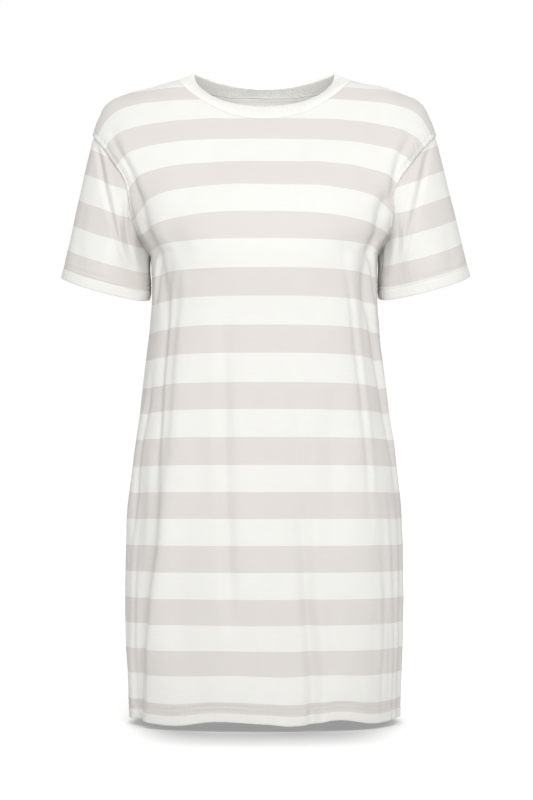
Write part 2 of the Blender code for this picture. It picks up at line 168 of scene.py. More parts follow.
# ---------------------------------------------------------------- creases
# Creases of the body: half width, depth, lip, and the path from its foot up, in degrees round the body and
# height. 0 degrees is the front, 90 the wearer's left, 180 the back, -90 the right. A trough has a depth
# below zero, a ridge above it. Lip is the share of the depth by which the cloth beside it stands up the
# other way: above zero on the side away from the middle of the front, below zero on the side towards it.
BODY_CREASES = (
    # the solids' own folds
    (0.015, -0.0042, 0, ((-54, -0.9), (-60, -0.44))),
    (0.02, 0.0026, 0, ((-43, -0.9), (-40, -0.5))),
    (0.013, 0.0026, 0, ((-72, -0.9), (-76, -0.4))),
    (0.019, -0.0032, 0, ((19.5, -0.9), (18, -0.48))),
    (0.026, 0.0024, 0, ((-10.5, -0.9), (-9, -0.46))),
    (0.009, -0.0016, 0, ((49.5, -0.9), (47, -0.56))),
    (0.008, -0.0024, 0, ((59.5, -0.9), (60, -0.52))),
    (0.018, 0.0022, 0, ((34, -0.9), (35, -0.52))),
    (0.0095, -0.004, 0, ((-52, -0.33), (-62, -0.165))),
    (0.012, 0.0022, 0, ((-38, -0.3), (-50, -0.17))),
    (0.0095, -0.0032, 0, ((53, -0.34), (60, -0.17))),
    (0.012, 0.0018, 0, ((42, -0.33), (49, -0.19))),
    (0.012, -0.0045, 0, ((-128, -0.42), (-118, -0.18))),
    (0.011, -0.004, 0, ((131, -0.4), (122, -0.18))),
    (0.022, -0.0045, 0, ((-146, -0.9), (-150, -0.42))),
    (0.02, 0.003, 0, ((-165, -0.9), (-166, -0.47))),
    (0.018, -0.0038, 0, ((163, -0.9), (166, -0.44))),
    (0.02, 0.0032, 0, ((138, -0.9), (140, -0.48))),
    (0.015, -0.004, 0, ((117, -0.9), (120, -0.46))),
    (0.016, -0.0034, 0, ((-118, -0.9), (-122, -0.5))),
    (0.03, -0.004, 0, ((176, -0.42), (178, -0.27))),
    # the broad flat front and back between the side folds
    (0.026, 0.005, 0, ((-53, -0.95), (-48, -0.7), (-42, -0.55), (-36, -0.18))),
    (0.028, 0.0042, 0, ((52, -0.95), (49, -0.7), (43, -0.55), (42, -0.18))),
    (0.03, 0.003, 0, ((-138, -0.95), (-140, -0.2))),
    (0.03, 0.003, 0, ((142, -0.95), (139, -0.2))),
    # beside the armholes, where the sleeves' weight pulls
    (0.005, -0.0026, -0.4, ((-54, -0.168), (-52.7, -0.14), (-50.6, -0.114), (-51.5, -0.09), (-53, -0.05))),
    (0.005, -0.0028, -0.4, ((58, -0.178), (55, -0.147), (50.4, -0.124), (47.5, -0.09), (50, -0.05))),
    (0.012, -0.0056, 0, ((-68, -0.245), (-60, -0.205), (-55, -0.165), (-53, -0.12))),
    (0.011, -0.0058, 0, ((62, -0.245), (54, -0.195), (51, -0.16), (51, -0.125))),
    (0.0045, -0.0034, 0.4, ((-66, -0.3), (-62, -0.249), (-53, -0.19))),
    (0.0045, -0.003, 0.4, ((70, -0.3), (62, -0.235), (54, -0.19))),
    # down the left of the picture
    (0.012, -0.004, -0.3, ((-49, -0.6), (-50, -0.467), (-53, -0.392), (-52.5, -0.31), (-48, -0.215))),
    (0.0045, -0.0024, -0.5, ((-49, -0.56), (-50, -0.467), (-53.3, -0.37), (-52, -0.28), (-46, -0.225))),
    (0.0115, -0.008, -0.4, ((-66, -1), (-61, -0.78), (-55, -0.69), (-48.5, -0.584), (-48, -0.45))),
    (0.0046, -0.0016, -0.5, ((-58, -0.9), (-54, -0.767), (-50.5, -0.672), (-46.2, -0.584), (-46.5, -0.47))),
    (0.006, -0.0026, 0, ((-42, -0.52), (-43.9, -0.444), (-45, -0.34), (-42, -0.225))),
    (0.006, -0.003, 0.3, ((-66, -0.62), (-66, -0.5), (-62, -0.36))),
    (0.0045, -0.0022, 0.3, ((-69, -0.96), (-65, -0.72), (-60, -0.54))),
    (0.0045, -0.0022, 0.3, ((-78, -0.93), (-74, -0.62))),
    # down the middle
    (0.0078, -0.0054, 0.2, ((-13, -0.76), (-15, -0.569), (-17.5, -0.44), (-19.5, -0.28))),
    (0.009, -0.0026, 0.3, ((15.5, -0.66), (14.6, -0.518), (13.5, -0.39))),
    (0.0066, -0.0074, 0.3, ((20, -1.06), (20, -0.8), (17, -0.672), (15, -0.54))),
    (0.01, -0.0024, 0, ((28, -0.62), (28.6, -0.516), (31, -0.38))),
    (0.011, 0.0016, 0, ((-2, -0.9), (-4, -0.56))),
    # down the right of the picture
    (0.0045, -0.0026, 0.4, ((44.7, -0.6), (45.9, -0.38), (43.7, -0.291), (36, -0.19))),
    (0.008, -0.0054, 0.5, ((74, -0.58), (67.3, -0.428), (62.4, -0.33), (54.6, -0.254), (48, -0.2))),
    (0.007, -0.0034, 0.4, ((56, -0.88), (54, -0.76), (54, -0.69), (50, -0.56))),
    (0.0055, -0.0014, 0.4, ((60, -0.86), (57, -0.7), (52, -0.52))),
    (0.0045, -0.0013, 0.4, ((66, -0.96), (64, -0.74), (61, -0.56))),
    (0.006, -0.002, 0.4, ((74, -0.9), (72, -0.72), (69, -0.5))),
    # the sides
    (0.009, -0.004, 0.3, ((-92, -0.54), (-84, -0.25))),
    (0.009, -0.0038, 0.3, ((94, -0.52), (86, -0.26))),
    (0.012, -0.0048, 0.3, ((-96, -0.98), (-98, -0.43))),
    (0.012, -0.0044, 0.3, ((98, -0.96), (99, -0.41))),
    (0.0065, -0.003, -0.4, ((-85, -0.99), (-82, -0.76), (-86, -0.54))),
    (0.0065, -0.003, -0.4, ((86, -0.98), (83, -0.74), (86, -0.56))),
    # the back
    (0.005, -0.003, 0.4, ((-121, -0.2), (-125, -0.15), (-129, -0.11), (-128, -0.06))),
    (0.005, -0.0028, 0.4, ((120, -0.195), (124, -0.145), (129, -0.105), (130, -0.06))),
    (0.011, -0.005, 0, ((-122, -0.25), (-129, -0.19), (-132, -0.13))),
    (0.011, -0.0048, 0, ((121, -0.25), (128, -0.19), (131, -0.125))),
    (0.0085, -0.0052, 0.5, ((-146, -0.43), (-130, -0.31), (-106, -0.215))),
    (0.008, -0.0048, 0.5, ((150, -0.41), (132, -0.3), (108, -0.215))),
    (0.0085, -0.0036, 0.4, ((-164, -0.4), (-150, -0.32), (-132, -0.25))),
    (0.0085, -0.0032, 0.4, ((161, -0.37), (148, -0.3), (131, -0.24))),
    (0.009, -0.0062, 0.4, ((-155, -1.04), (-158, -0.7), (-151, -0.48))),
    (0.009, -0.0056, 0.4, ((151, -1.04), (153, -0.72), (148, -0.5))),
    (0.01, -0.0036, 0.3, ((173, -0.98), (171, -0.58))),
    (0.0075, -0.0044, 0.4, ((-133, -1), (-130, -0.76), (-135, -0.54))),
    (0.0075, -0.0042, 0.4, ((127, -1), (130, -0.74), (125, -0.58))),
    (0.0055, -0.0026, 0.4, ((-112, -0.94), (-108, -0.62))),
    (0.0055, -0.0026, 0.4, ((108, -0.92), (111, -0.6))),
    (0.011, -0.0026, 0, ((-176, -0.56), (-171, -0.33))),
)
CREASE_FADE = 0.30  # the share of a crease's length in which it runs out at each end
LIP_AT = 1.9  # a lip's place beside its crease and its width, in half widths
LIP_WIDTH = 1.2

# Creases of a sleeve: the angle and share of each one's top, the same of its foot, its half width in degrees,
# its depth and its lip. Angles are in degrees round it: 0 the underarm, 90 front, 180 outside, 270 back. A
# share is of the way from the armhole to the cuff. A lip above zero is on the side of the larger angles.
SLEEVE_CREASES = {
    "right": (
        # the solids' own folds
        (62, 0.05, 40, 1.1, 15, -0.0038, 0),
        (100, 0.1, 82, 1.1, 20, 0.0024, 0),
        (290, 0.08, 312, 1.1, 16, -0.0036, 0),
        # the flat front, up to the underarm's turn
        (42, -0.2, 40, 2, 17, 0.0036, 0),
        # finer ones
        (187, -0.2, 62, 0.62, 7, -0.0046, -0.4),
        (112, -0.12, 44, 0.5, 6, -0.0014, -0.5),
        (150, 0.4, 128, 1, 9, -0.0008, 0.5),
        (222, -0.05, 262, 0.72, 8, -0.0024, 0.5),
        (266, 0.15, 292, 1.05, 8, -0.0018, 0.5),
    ),
    "left": (
        # the same, in the same order
        (66, 0.05, 46, 1.1, 14, -0.0036, 0),
        (104, 0.15, 96, 1.1, 22, 0.0022, 0),
        (286, 0.08, 306, 1.1, 17, -0.0036, 0),
        (40, -0.2, 40, 2, 18, 0.0044, 0),
        (182, -0.2, 64, 0.6, 7, -0.0044, -0.4),
        (104, -0.12, 52, 0.46, 6, -0.001, -0.5),
        (148, 0.4, 126, 1, 9, -0.0007, 0.5),
        (226, -0.05, 268, 0.75, 8, -0.0024, 0.5),
        (258, 0.2, 288, 1.05, 8, -0.0016, 0.5),
    ),
}
SLEEVE_CREASES_FROM = 0.07  # the share within which they all run out at the armhole's seam

# Rumple: a faint unevenness of the whole cloth, the sum of a few slow waves through space
RUMPLE_SEED = 7
RUMPLE_WAVES = 26
RUMPLE_LENGTHS = (0.035, 0.120)  # metres
RUMPLE = 0.00016  # each wave's height
RUMPLE_UPRIGHT = 2.6  # how much longer the waves are up and down than across

# ---------------------------------------------------------------- stripes
# The height, at the middle of the front, of each edge between two stripes, from below the hem up. The edges'
# numbers count down from the first. Cloth between an odd number and the next larger one is grey.
LOWEST_EDGE = 25
STRIPE_EDGES = (
    -0.848, -0.8232, -0.808, -0.7719, -0.7391, -0.7056, -0.6721, -0.6374, -0.6027, -0.568, -0.5333, -0.4986,
    -0.4626, -0.4266, -0.3919, -0.354, -0.318, -0.2808, -0.2444, -0.2071, -0.1717, -0.1355, -0.1042, -0.0733,
    -0.0449, -0.0181, -0.0006, 0.02,
)
STRIPES = [(edge, LOWEST_EDGE - k) for k, edge in enumerate(STRIPE_EDGES)]
STRIPE_WIDTH = 0.0362  # of cloth, laid flat

# How far the stripes hang lower at 60 degrees round from the middle than in the middle: height and droop
DROOP = (
    (-0.835, 0),
    (-0.5, 0.003),
    (-0.34, 0.007),
    (-0.254, 0.007),
    (-0.214, 0.009),
    (-0.194, 0.023),
    (-0.165, 0.037),
    (-0.083, 0.038),
    (-0.06, 0.034),
    (-0.034, 0.018),
    (-0.006, 0.004),
    (0.016, 0),
)
DROOP_AT = math.radians(60.0)
DROOP_MOST = 1.10  # past this share of that angle the stripes run level
DROOP_POWER = 3

# The distance of each edge between two stripes from the cuff's edge. The first is grey's lower edge.
SLEEVE_STRIPES = {
    "left": (0.0160, 0.0440, 0.0770, 0.1100, 0.1445, 0.1785),
    "right": (0.0130, 0.0370, 0.0705, 0.1050, 0.1410, 0.1745),
}

# ---------------------------------------------------------------- seams and sewing
SEAM_SINK = 0.0007  # how far cloth sinks into a seam
SEAM_SINK_REACH = 0.0016
SLEEVE_SINK = 0.0010  # and how far a sleeve does into its armhole seam, over the reach below
SLEEVE_SINK_REACH = 0.0035
NECK_SINK = 0.0002  # at the neck seam and the shoulder seams, which lie flatter
ALLOWANCE = 0.0065  # width of the turned seam allowance beside the armhole
ALLOWANCE_RISE = 0.0016  # how far the cloth stands up over it
RISE_START = 0.0015  # over what length it rises, from the seam
RISE_END = 0.002  # and over what length it comes down again, past the allowance
RIDGE_RUN = 0.030  # over what length, down from just above the shoulder's tip, the rise gains that height
ARMPIT_ROWS = 6  # rows of points above the armpit over which it ends
PUCKER = 0.00055  # height of the small waves that sewing pulls in beside a seam
CORNER_REACH = 0.015  # sewing leaves the cloth plain this near the corners between neck and shoulder
# The share of a pucker's height beside the hem and cuffs, and on the sleeve beside its armhole
HEM_PUCKER = 0.2
NECK_PUCKER = 0.2  # the share of that beside the neck and shoulder seams
PUCKER_LENGTH = 0.0088
PUCKER_SHIFT = 1.3  # how unevenly they follow one another
PUCKER_SHIFT_LENGTH = 0.031
PUCKER_REACH = 0.0060
HEM_ROWS = (0.0145, 0.0200)  # the twin needle's two rows, above the hem's edge
CUFF_ROWS = (0.0130, 0.0185)
ARMHOLE_ROW = 0.0066  # the armhole's topstitch, from its seam
ARMHOLE_GROOVE = 1.6  # how much deeper it presses in than the others
STITCH_PITCH = 0.0031
STITCH_LENGTH = 0.0024
STITCH_RADIUS = 0.00024
STITCH_SIDES = 6
# A stitch's rings: place along it, as a share of its length; radius; and height above the cloth, in radii
STITCH_RINGS = ((-0.5, 0.30, -0.5), (-0.25, 1.0, 0.35), (0.25, 1.0, 0.35), (0.5, 0.30, -0.5))
THREAD_GROOVE = 0.00080  # how deep a row of stitches presses in
THREAD_GROOVE_WIDTH = 0.0014

# ---------------------------------------------------------------- mesh
NECK_COLUMNS = 56
SHOULDER_COLUMNS = 76
BODY_ROWS = 64
BODY_ROW_CROWDING = 1.3  # how much closer the skirt's rows lie up by the armpits
HEM_ROWS_FINE = 16
HEM_FINE = 1.4  # the height of those finer rows, in widths of the turned hem
CHEST_ROWS = 92
ROW_CROWDING = 1.15  # how much closer the chest's rows lie beside the neck and shoulder seams
SLEEVE_ROWS = 54
SLEEVE_CROWDING = 1.4
CUFF_FROM = 0.86  # the share of a sleeve's length at which its finest rows start
CUFF_ROWS_FINE = 18
BAND_ROWS = 12
RIBS = 204
RIB_COLUMNS = 8
RIB_HEIGHT = 0.00034
RIB_SHARPNESS = 0.7
RIB_START = 0.0060  # how far from the neck seam the ribs have their full height
BAND_START = 0.003  # and the neckband stands out from the panels
CURVE_SAMPLES = 1200
CHEST_SAMPLES = 400
ACROSS_SAMPLES = 17
NECK_SHARE = 7 / 15  # the neck's share of a half panel's width, as in the solids
TURN_CROWDING = 1.4  # how much closer together the outer columns are read up by the shoulder
CROWDED_FROM = 0.5  # how far out, as a share, they are the first to be read so
ARMHOLE_PULL = 4  # how late, going out, columns are read at the heights of the armhole's points
LOW_CHEST = 0.3  # up to this share of their height the chest's columns are spaced by angle, above it by width
EDGE_CROWDING = 1.5  # how much closer columns lie beside the armhole and side seams
RIM_SWELL = 0.9  # how round a free edge is
NORMAL_TURN = 0.002  # how far to either side, in radians, a slope of the body is measured
NORMAL_LIFT = 0.0005  # and how far up and down
RIM_STEPS = 3
TINY = 1e-12  # the least length that a vector is divided by

# ---------------------------------------------------------------- the photograph's view
IMAGE_WIDTH = 533
METRES_PER_PIXEL = 0.00133  # at the plane of the shoulder seams
MIDDLE_PIXEL = 264.5  # the dress's middle, across the image
EYE_Z = -0.415
EYE_DISTANCE = 3.8
SENSOR = 36.0

# ---------------------------------------------------------------- finishes, in linear light
WHITE = (0.80, 0.797, 0.765, 1.0)
GREY = (0.688, 0.655, 0.629, 1.0)
RIB_WHITE = (0.825, 0.818, 0.785)
THREAD = (0.80, 0.78, 0.75)
# painted shade: the thread's colour is darker by this share in the grooves of its twist
THREAD_PAINTED_SHADE = 0.04
FLOOR = (0.79, 0.79, 0.79)
FLOOR_GLOW = 0.49  # of the floor far off, so that it is as pale as the surround
FLOOR_GLOW_NEAR = 0.31  # and near
GLOW_REACH = (0.5, 3.0)  # between which distances it changes
PAINTED_SHADOW_REACH = 0.22  # how far from the dress the shadow painted into the floor's colour reaches
PAINTED_SHADOW_POWER = 2.8  # how strongly that painted shadow darkens the floor
PAINTED_SHADOW_SIDES = (0.09, 0.20)  # how far to either side the painted shadow starts and ends running out
STRIPE_BLUR = 0.010
JERSEY_WALE = 0.00090
JERSEY_COURSE = 0.00065
RIB_WALE = 0.00125
RIB_COURSE = 0.00080
KNIT_RELIEF = 0.00006
# painted shade: the knit's colour is darker by this share in the hollows of its relief
KNIT_PAINTED_SHADE = 0.012
SLUB_LENGTH = 0.030  # of the thicker places in the yarn
SLUB_WIDTH = 0.0016
SLUB_RELIEF = 0.00010
SLUB_SHADE = 0.045
FIBRE = 0.0007  # the size of its fuzz
FIBRE_SHADE = 0.06
CLOTH_ROUGHNESS = 0.92
CLOTH_SPECULAR = 0.20
SHEEN = 0.10
SHEEN_ROUGHNESS = 0.5
THREAD_TWIST = 0.0009
THREAD_RELIEF = 0.00004
THREAD_ROUGHNESS = 0.6

# ---------------------------------------------------------------- studio
BACKDROP = 1.0  # the surround's brightness as the camera sees it
SURROUND = 0.70  # and as it lights the dress
CLIP_END = 100.0
# Lights: name, place, what it is turned to, width and height, and watts. The last lifts the nape's inside.
LIGHTS = (
    ("key", (0.20, -2.6, 1.00), (0.0, 0.0, -0.30), (1.4, 1.4), 47.0),
    ("fill", (-0.5, 2.6, 1.00), (0.0, 0.0, -0.30), (1.4, 1.4), 16.0),
    ("nape", (0.0, -0.030, -0.062), (0.0, 0.052, 0.0), (0.11, 0.03), 0.085),
)
FLOOR_Z = -0.843
FLOOR_HALF = 40.0


def smooth_step(t):
    """0 below 0, 1 above 1 and a soft rise between."""
    t = np.clip(t, 0.0, 1.0)
    return t * t * (3.0 - 2.0 * t)


def bump(t):
    """1 at 0, falling softly to nothing by 2 or so on either side."""
    return np.exp(-(t**2))


def unit(vectors):
    """Vectors at a length of 1."""
    return vectors / np.maximum(np.linalg.norm(vectors, axis=-1, keepdims=True), TINY)


def read_column(table, at, column=1, by=0):
    """One column of a table by another that rises, as a smooth curve that never overshoots its rows."""
    rows = np.array(table)
    x, y = rows[:, by], rows[:, column]
    step = np.diff(x)
    rise = np.diff(y) / step
    before, after = rise[:-1], rise[1:]
    same_way = before * after > 0
    total = np.where(same_way, before + after, 1.0)
    slope = np.concatenate([rise[:1], np.where(same_way, 2.0 * before * after / total, 0.0), rise[-1:]])
    i = np.clip(np.searchsorted(x, at, side="right") - 1, 0, len(step) - 1)
    t = np.clip((at - x[i]) / step[i], 0.0, 1.0)
    return (
        y[i] * (1 + 2 * t) * (1 - t) ** 2
        + y[i + 1] * t * t * (3 - 2 * t)
        + step[i] * t * (1 - t) * (slope[i] * (1 - t) - slope[i + 1] * t)
    )


def section(name, height):
    """One of the body's sizes at a height."""
    return read_column(SECTIONS, height, SECTION_COLUMNS.index(name))


# ================================================================ the body's form
def plain_body(angle, height):
    """The body's outer face with no folds, at an angle round it and a height."""
    side, ahead = np.sin(angle), np.cos(angle)
    square = section("square", height)
    reach = (np.abs(side) ** square + np.abs(ahead) ** square) ** (-1.0 / square)
    depth = np.where(ahead > 0, section("front", height), section("back", height))
    x = section("half_width", height) * reach * side
    y = section("middle_y", height) - depth * reach * ahead
    return np.stack([x, y, height + 0.0 * x], axis=-1)


def body_normal(angle, height):
    """The way out of the body's outer face."""
    round_it = plain_body(angle + NORMAL_TURN, height) - plain_body(angle - NORMAL_TURN, height)
    up_it = plain_body(angle, height + NORMAL_LIFT) - plain_body(angle, height - NORMAL_LIFT)
    return unit(np.cross(round_it, up_it))


def crease(across, depth, lip):
    """A crease's height at a distance across it, in half widths: a trough, with a lip on one side."""
    beside = (across - math.copysign(LIP_AT, lip)) / LIP_WIDTH
    return depth * (bump(across) - abs(lip) * bump(beside))


def run_out(along):
    """1 along most of a crease, running out softly to 0 at both ends."""
    return smooth_step(along / CREASE_FADE) * smooth_step((1.0 - along) / CREASE_FADE)


def body_creases(angle, height):
    """How far the creases lift or sink the body's outer face."""
    sunk = np.zeros_like(angle)
    girth_radius = np.sqrt(section("half_width", height) * section("front", height))
    for half_width, depth, lip, path in BODY_CREASES:
        foot, top = path[0][1], path[-1][1]
        middle = np.radians(read_column(path, height, column=0, by=1))
        apart = (angle - middle + math.pi) % (2 * math.pi) - math.pi
        across = apart * girth_radius / half_width * math.copysign(1, path[0][0])
        along = (top - height) / (top - foot)
        sunk += run_out(along) * crease(across, depth, lip)
    return sunk


def rumple(points):
    """The cloth's faint unevenness, the same wherever two pieces meet."""
    chance = np.random.default_rng(RUMPLE_SEED)
    height = np.zeros(points.shape[:-1])
    for _ in range(RUMPLE_WAVES):
        way = chance.normal(size=3)
        way[2] /= RUMPLE_UPRIGHT
        way *= 2 * math.pi / (np.linalg.norm(way) * chance.uniform(*RUMPLE_LENGTHS))
        height += RUMPLE * np.sin(points @ way + chance.uniform(0, 2 * math.pi))
    return height


def body(angle, height):
    """The body's outer face, with its creases and the wave of its hem."""
    angle, height = np.broadcast_arrays(np.asarray(angle, float), np.asarray(height, float))
    points = plain_body(angle, height)
    lift = body_creases(angle, height) + rumple(points)
    points = points + body_normal(angle, height) * lift[..., None]
    near_hem = smooth_step(1.0 - (height - HEM_Z) / HEM_WAVE_REACH)
    wave = np.sin(HEM_WAVES * angle + HEM_WAVE_UNEVENNESS * np.sin(2 * angle) + HEM_WAVE_START)
    points[..., 2] += HEM_WAVE * near_hem * wave
    drawn_up = np.clip(1.0 - (height - HEM_Z) / HEM_LIFT_REACH, 0.0, 1.0) ** 2
    turned = np.degrees((angle + math.pi) % (2 * math.pi) - math.pi)
    points[..., 2] += drawn_up * read_column(HEM_LIFTS, turned)
    return points


def angle_of(x, height, back):
    """The angle round the body at which its face lies x from the middle plane."""
    square = section("square", height)
    across = np.clip(x / section("half_width", height), 0.0, 1.0)
    ahead = (1.0 - across**square) ** (1.0 / square)
    angle = np.arctan2(across, ahead)
    return math.pi - angle if back else angle


# ================================================================ the panels' grids
def lengths(points, axis=0):
    """The length along a run of points, from its first."""
    steps = np.linalg.norm(np.diff(points, axis=axis), axis=-1)
    start = np.zeros_like(np.take(steps, [0], axis=axis))
    return np.concatenate([start, np.cumsum(steps, axis=axis)], axis=axis)


def read_along(along, values, at):
    """Columns of values at lengths along a line, read at other lengths."""
    return np.stack([np.interp(at, along, column) for column in values.T], axis=1)


def read_evenly(curve, back, shares):
    """A curve on the body, given as x and height, read at shares of its 3-D length."""
    along = lengths(plain_body(angle_of(curve[:, 0], curve[:, 1], back), curve[:, 1]))
    return read_along(along, curve, shares * along[-1])


def crowded(count, crowding):
    """Shares from 0 to 1 that lie closer together near 1."""
    return 1.0 - (1.0 - np.linspace(0.0, 1.0, count + 1)) ** crowding


def neckline(back, shares):
    """The neck seam at shares of its way from the middle out to the shoulder seam, as x and height."""
    share = np.sin(np.linspace(0.0, math.pi / 2, CURVE_SAMPLES))
    middle_z, bend = (NECK_BACK_Z, NECK_BACK_BEND) if back else (NECK_FRONT_Z, NECK_FRONT_BEND)
    x = section("half_width", NECK_SIDE_Z) * share
    height = middle_z + (NECK_SIDE_Z - middle_z) * share**bend
    return read_evenly(np.stack([x, height], axis=1), back, shares)


def shoulder_seam(back):
    """The shoulder seam along the top of the shoulder, from the neck out to its tip, as x and height."""
    height = np.linspace(NECK_SIDE_Z, SHOULDER_TIP_Z, CURVE_SAMPLES)
    curve = np.stack([section("half_width", height), height], axis=1)
    return read_evenly(curve, back, crowded(SHOULDER_COLUMNS, EDGE_CROWDING))


def armhole_seam(back, side_name, shares):
    """An armhole seam from the armpit up to the shoulder tip, as x and height, at shares of its length."""
    height = np.linspace(ARMPIT_Z, SHOULDER_TIP_Z, CURVE_SAMPLES)
    x = read_column(ARMHOLE, height, ARMHOLE_COLUMNS.index("back" if back else side_name + "_front"))
    above = height - ARMPIT_Z
    parted = section("half_width", height) * (1.0 - ARMPIT_BEND * above)
    x = np.where(above < ARMPIT_REACH, np.minimum(x, parted), x)
    return read_evenly(np.stack([x, height], axis=1), back, shares)


def column_shares():
    """How far out each column of a half panel lies, from 0 in the middle to 1 at the side."""
    neck = np.linspace(0.0, NECK_SHARE, NECK_COLUMNS + 1)
    shoulder = NECK_SHARE + (1.0 - NECK_SHARE) * crowded(SHOULDER_COLUMNS, EDGE_CROWDING)
    return np.concatenate([neck, shoulder[1:]])


def low_angles(back):
    """The angle of each column below the armpit, from the middle out."""
    angles = column_shares() * math.pi / 2
    return math.pi - angles if back else angles


def with_angles(points, back):
    """Points on a panel, as x and height, with their angles beside them."""
    return np.column_stack([points, angle_of(points[:, 0], points[:, 1], back)])


def spread_between(low, top, edge, across, up):
    """A row of points spread between the columns' feet and tops, the middle column and the armhole's edge."""
    middle = low[0] + (top[0] - low[0]) * up[:, None]
    u, w = across[:, None], up[:, None]
    corners = (1 - u) * ((1 - w) * low[0] + w * top[0]) + u * ((1 - w) * low[-1] + w * top[-1])
    return (1 - u) * middle + u * edge + (1 - w) * low + w * top - corners


def chest_columns(back, side_name):
    """Half a panel from the armpit up to the shoulder and neck, columns from the middle out, finely read.

    It is spread between its four edges, as widths, heights and angles, and returned as angles and heights.
    """
    shares = np.linspace(0.0, 1.0, CHEST_SAMPLES)
    neck = neckline(back, np.linspace(0.0, 1.0, NECK_COLUMNS + 1))
    top = with_angles(np.concatenate([neck, shoulder_seam(back)[1:]]), back)
    edge = with_angles(armhole_seam(back, side_name, shares), back)
    across, low_angle = column_shares(), low_angles(back)
    low = plain_body(low_angle, np.full(len(top), ARMPIT_Z))[:, [0, 2]]
    low = np.column_stack([low, low_angle])
    edge_share = (edge[:, 1] - ARMPIT_Z) / (SHOULDER_TIP_Z - ARMPIT_Z)
    crowding = 1.0 + TURN_CROWDING * smooth_step(across / CROWDED_FROM)
    rows = []
    for share, at_edge in zip(shares, edge_share):
        up = 1.0 - (1.0 - share) ** crowding
        up += (at_edge - up) * across**ARMHOLE_PULL
        spread = spread_between(low, top, read_along(edge_share, edge, up), across, up)
        by_width = angle_of(spread[:, 0], spread[:, 1], back)
        angle = spread[:, 2] + (by_width - spread[:, 2]) * smooth_step(up / LOW_CHEST)
        rows.append(np.stack([angle, spread[:, 1]], axis=1))
    columns = np.array(rows)
    columns[-1, NECK_COLUMNS:, 0] = math.pi / 2  # the shoulder seam runs along the body's side line
    return columns


def chest_grid(back, side_name):
    """Half a panel's rows from the armpit up, a share of each column's length apart."""
    fine = chest_columns(back, side_name)
    along = lengths(plain_body(fine[..., 0], fine[..., 1]))
    shares = crowded(CHEST_ROWS, ROW_CROWDING)
    columns = range(fine.shape[1])
    return np.stack([read_along(along[:, c], fine[:, c], shares * along[-1, c]) for c in columns], axis=1)


def half_panel(back, side_name):
    """Half the front or back, as angles and heights: rows from the hem up, columns from the middle out."""
    chest = chest_grid(back, side_name)
    turn = np.linspace(HEM_Z, HEM_Z + HEM_TURN * HEM_FINE, HEM_ROWS_FINE)
    above = turn[-1] + (ARMPIT_Z - turn[-1]) * crowded(BODY_ROWS, BODY_ROW_CROWDING)
    heights = np.concatenate([turn, above[1:-1]])
    angles = np.concatenate([np.tile(low_angles(back), (len(heights), 1)), chest[..., 0]])
    # the side and shoulder seams run exactly along the body's side line
    angles[: len(heights) + 1, -1] = math.pi / 2
    angles[-1, NECK_COLUMNS:] = math.pi / 2
    return angles, np.concatenate([np.tile(heights[:, None], (1, chest.shape[1])), chest[..., 1]])


def panel_grid(back):
    """The front or back, as angles and heights: rows from the hem up, columns from the wearer's right."""
    left_angles, left_heights = half_panel(back, "left")
    right_angles, right_heights = half_panel(back, "right")
    return (
        np.concatenate([-right_angles[:, :0:-1], left_angles], axis=1),
        np.concatenate([right_heights[:, :0:-1], left_heights], axis=1),
    )


def changes(points, axis, closed):
    """How points change along one way of a line or grid, round a ring if it is closed."""
    if closed:
        return np.roll(points, -1, axis=axis) - np.roll(points, 1, axis=axis)
    return np.gradient(points, axis=axis)


def way_off(curve, normals, closed=False):
    """At each point of a seam, the way across it that lies in the cloth."""
    return unit(np.cross(normals, changes(curve, 0, closed)))


def drawn_in(points, normals):
    """A panel's points, with its side, armhole, shoulder and neck edges drawn in from their seams."""
    drawn = points.copy()
    for edge, inner in ((np.s_[-1], np.s_[-2]), (np.s_[:, 0], np.s_[:, 1]), (np.s_[:, -1], np.s_[:, -2])):
        way = way_off(points[edge], normals[edge])
        gap = np.sum(way * (points[inner] - points[edge]), axis=-1, keepdims=True)
        drawn[edge] += np.clip(gap / 2, -SEAM_TRIM, SEAM_TRIM) * way
    return drawn


def grid_normals(points, closed):
    """The way out at each point of a grid of points whose rows run round or across."""
    return unit(np.cross(changes(points, 1, closed), np.gradient(points, axis=0)))


def turned_to(normals, others, share):
    """Normals turned by a share towards others."""
    return unit(normals * (1.0 - share[..., None]) + others * share[..., None])


# ================================================================ seams
def pucker(distance, along):
    """Small waves that sewing pulls in, at a distance from a seam and a length along it."""
    wave = np.sin(2 * math.pi * along / PUCKER_LENGTH + PUCKER_SHIFT * np.sin(along / PUCKER_SHIFT_LENGTH))
    return PUCKER * wave * distance / PUCKER_REACH * np.exp(1.0 - distance / PUCKER_REACH)


def seam_sink(distance, depth=SEAM_SINK):
    """How far cloth sinks towards a seam's line."""
    return -depth * np.exp(-distance / SEAM_SINK_REACH)


def allowance_rise(distance):
    """The low step of the seam allowance that lies turned under beside a seam."""
    end = smooth_step((ALLOWANCE + RISE_END - distance) / RISE_END)
    return ALLOWANCE_RISE * smooth_step(distance / RISE_START) * end


def groove(distance):
    """How a row of stitches at this distance presses into the cloth."""
    return -THREAD_GROOVE * bump(distance / THREAD_GROOVE_WIDTH)


def sew_edge(lift, from_edge, along, rows, turn):
    """Press the rows of stitches above a turned-up edge into a piece's lift, and pucker it beside them."""
    for row in rows:
        lift += groove(from_edge - row)
    lift += HEM_PUCKER * pucker(np.abs(from_edge - rows[0]), along) * (from_edge < 2 * turn)


def turned_wall(from_edge, turn):
    """The cloth's thickness, doubled where it is turned up at an edge."""
    return WALL + (TURNED_WALL - WALL) * smooth_step((turn - from_edge) / TURN_STEP)


def off_corners(points):
    """0 at a panel's two corners between neck and shoulder, 1 a little way off them."""
    middle = points.shape[1] // 2
    corners = points[-1, [middle - NECK_COLUMNS, middle + NECK_COLUMNS]]
    apart = np.linalg.norm(points[:, :, None] - corners, axis=-1).min(axis=-1)
    return smooth_step(apart / CORNER_REACH)


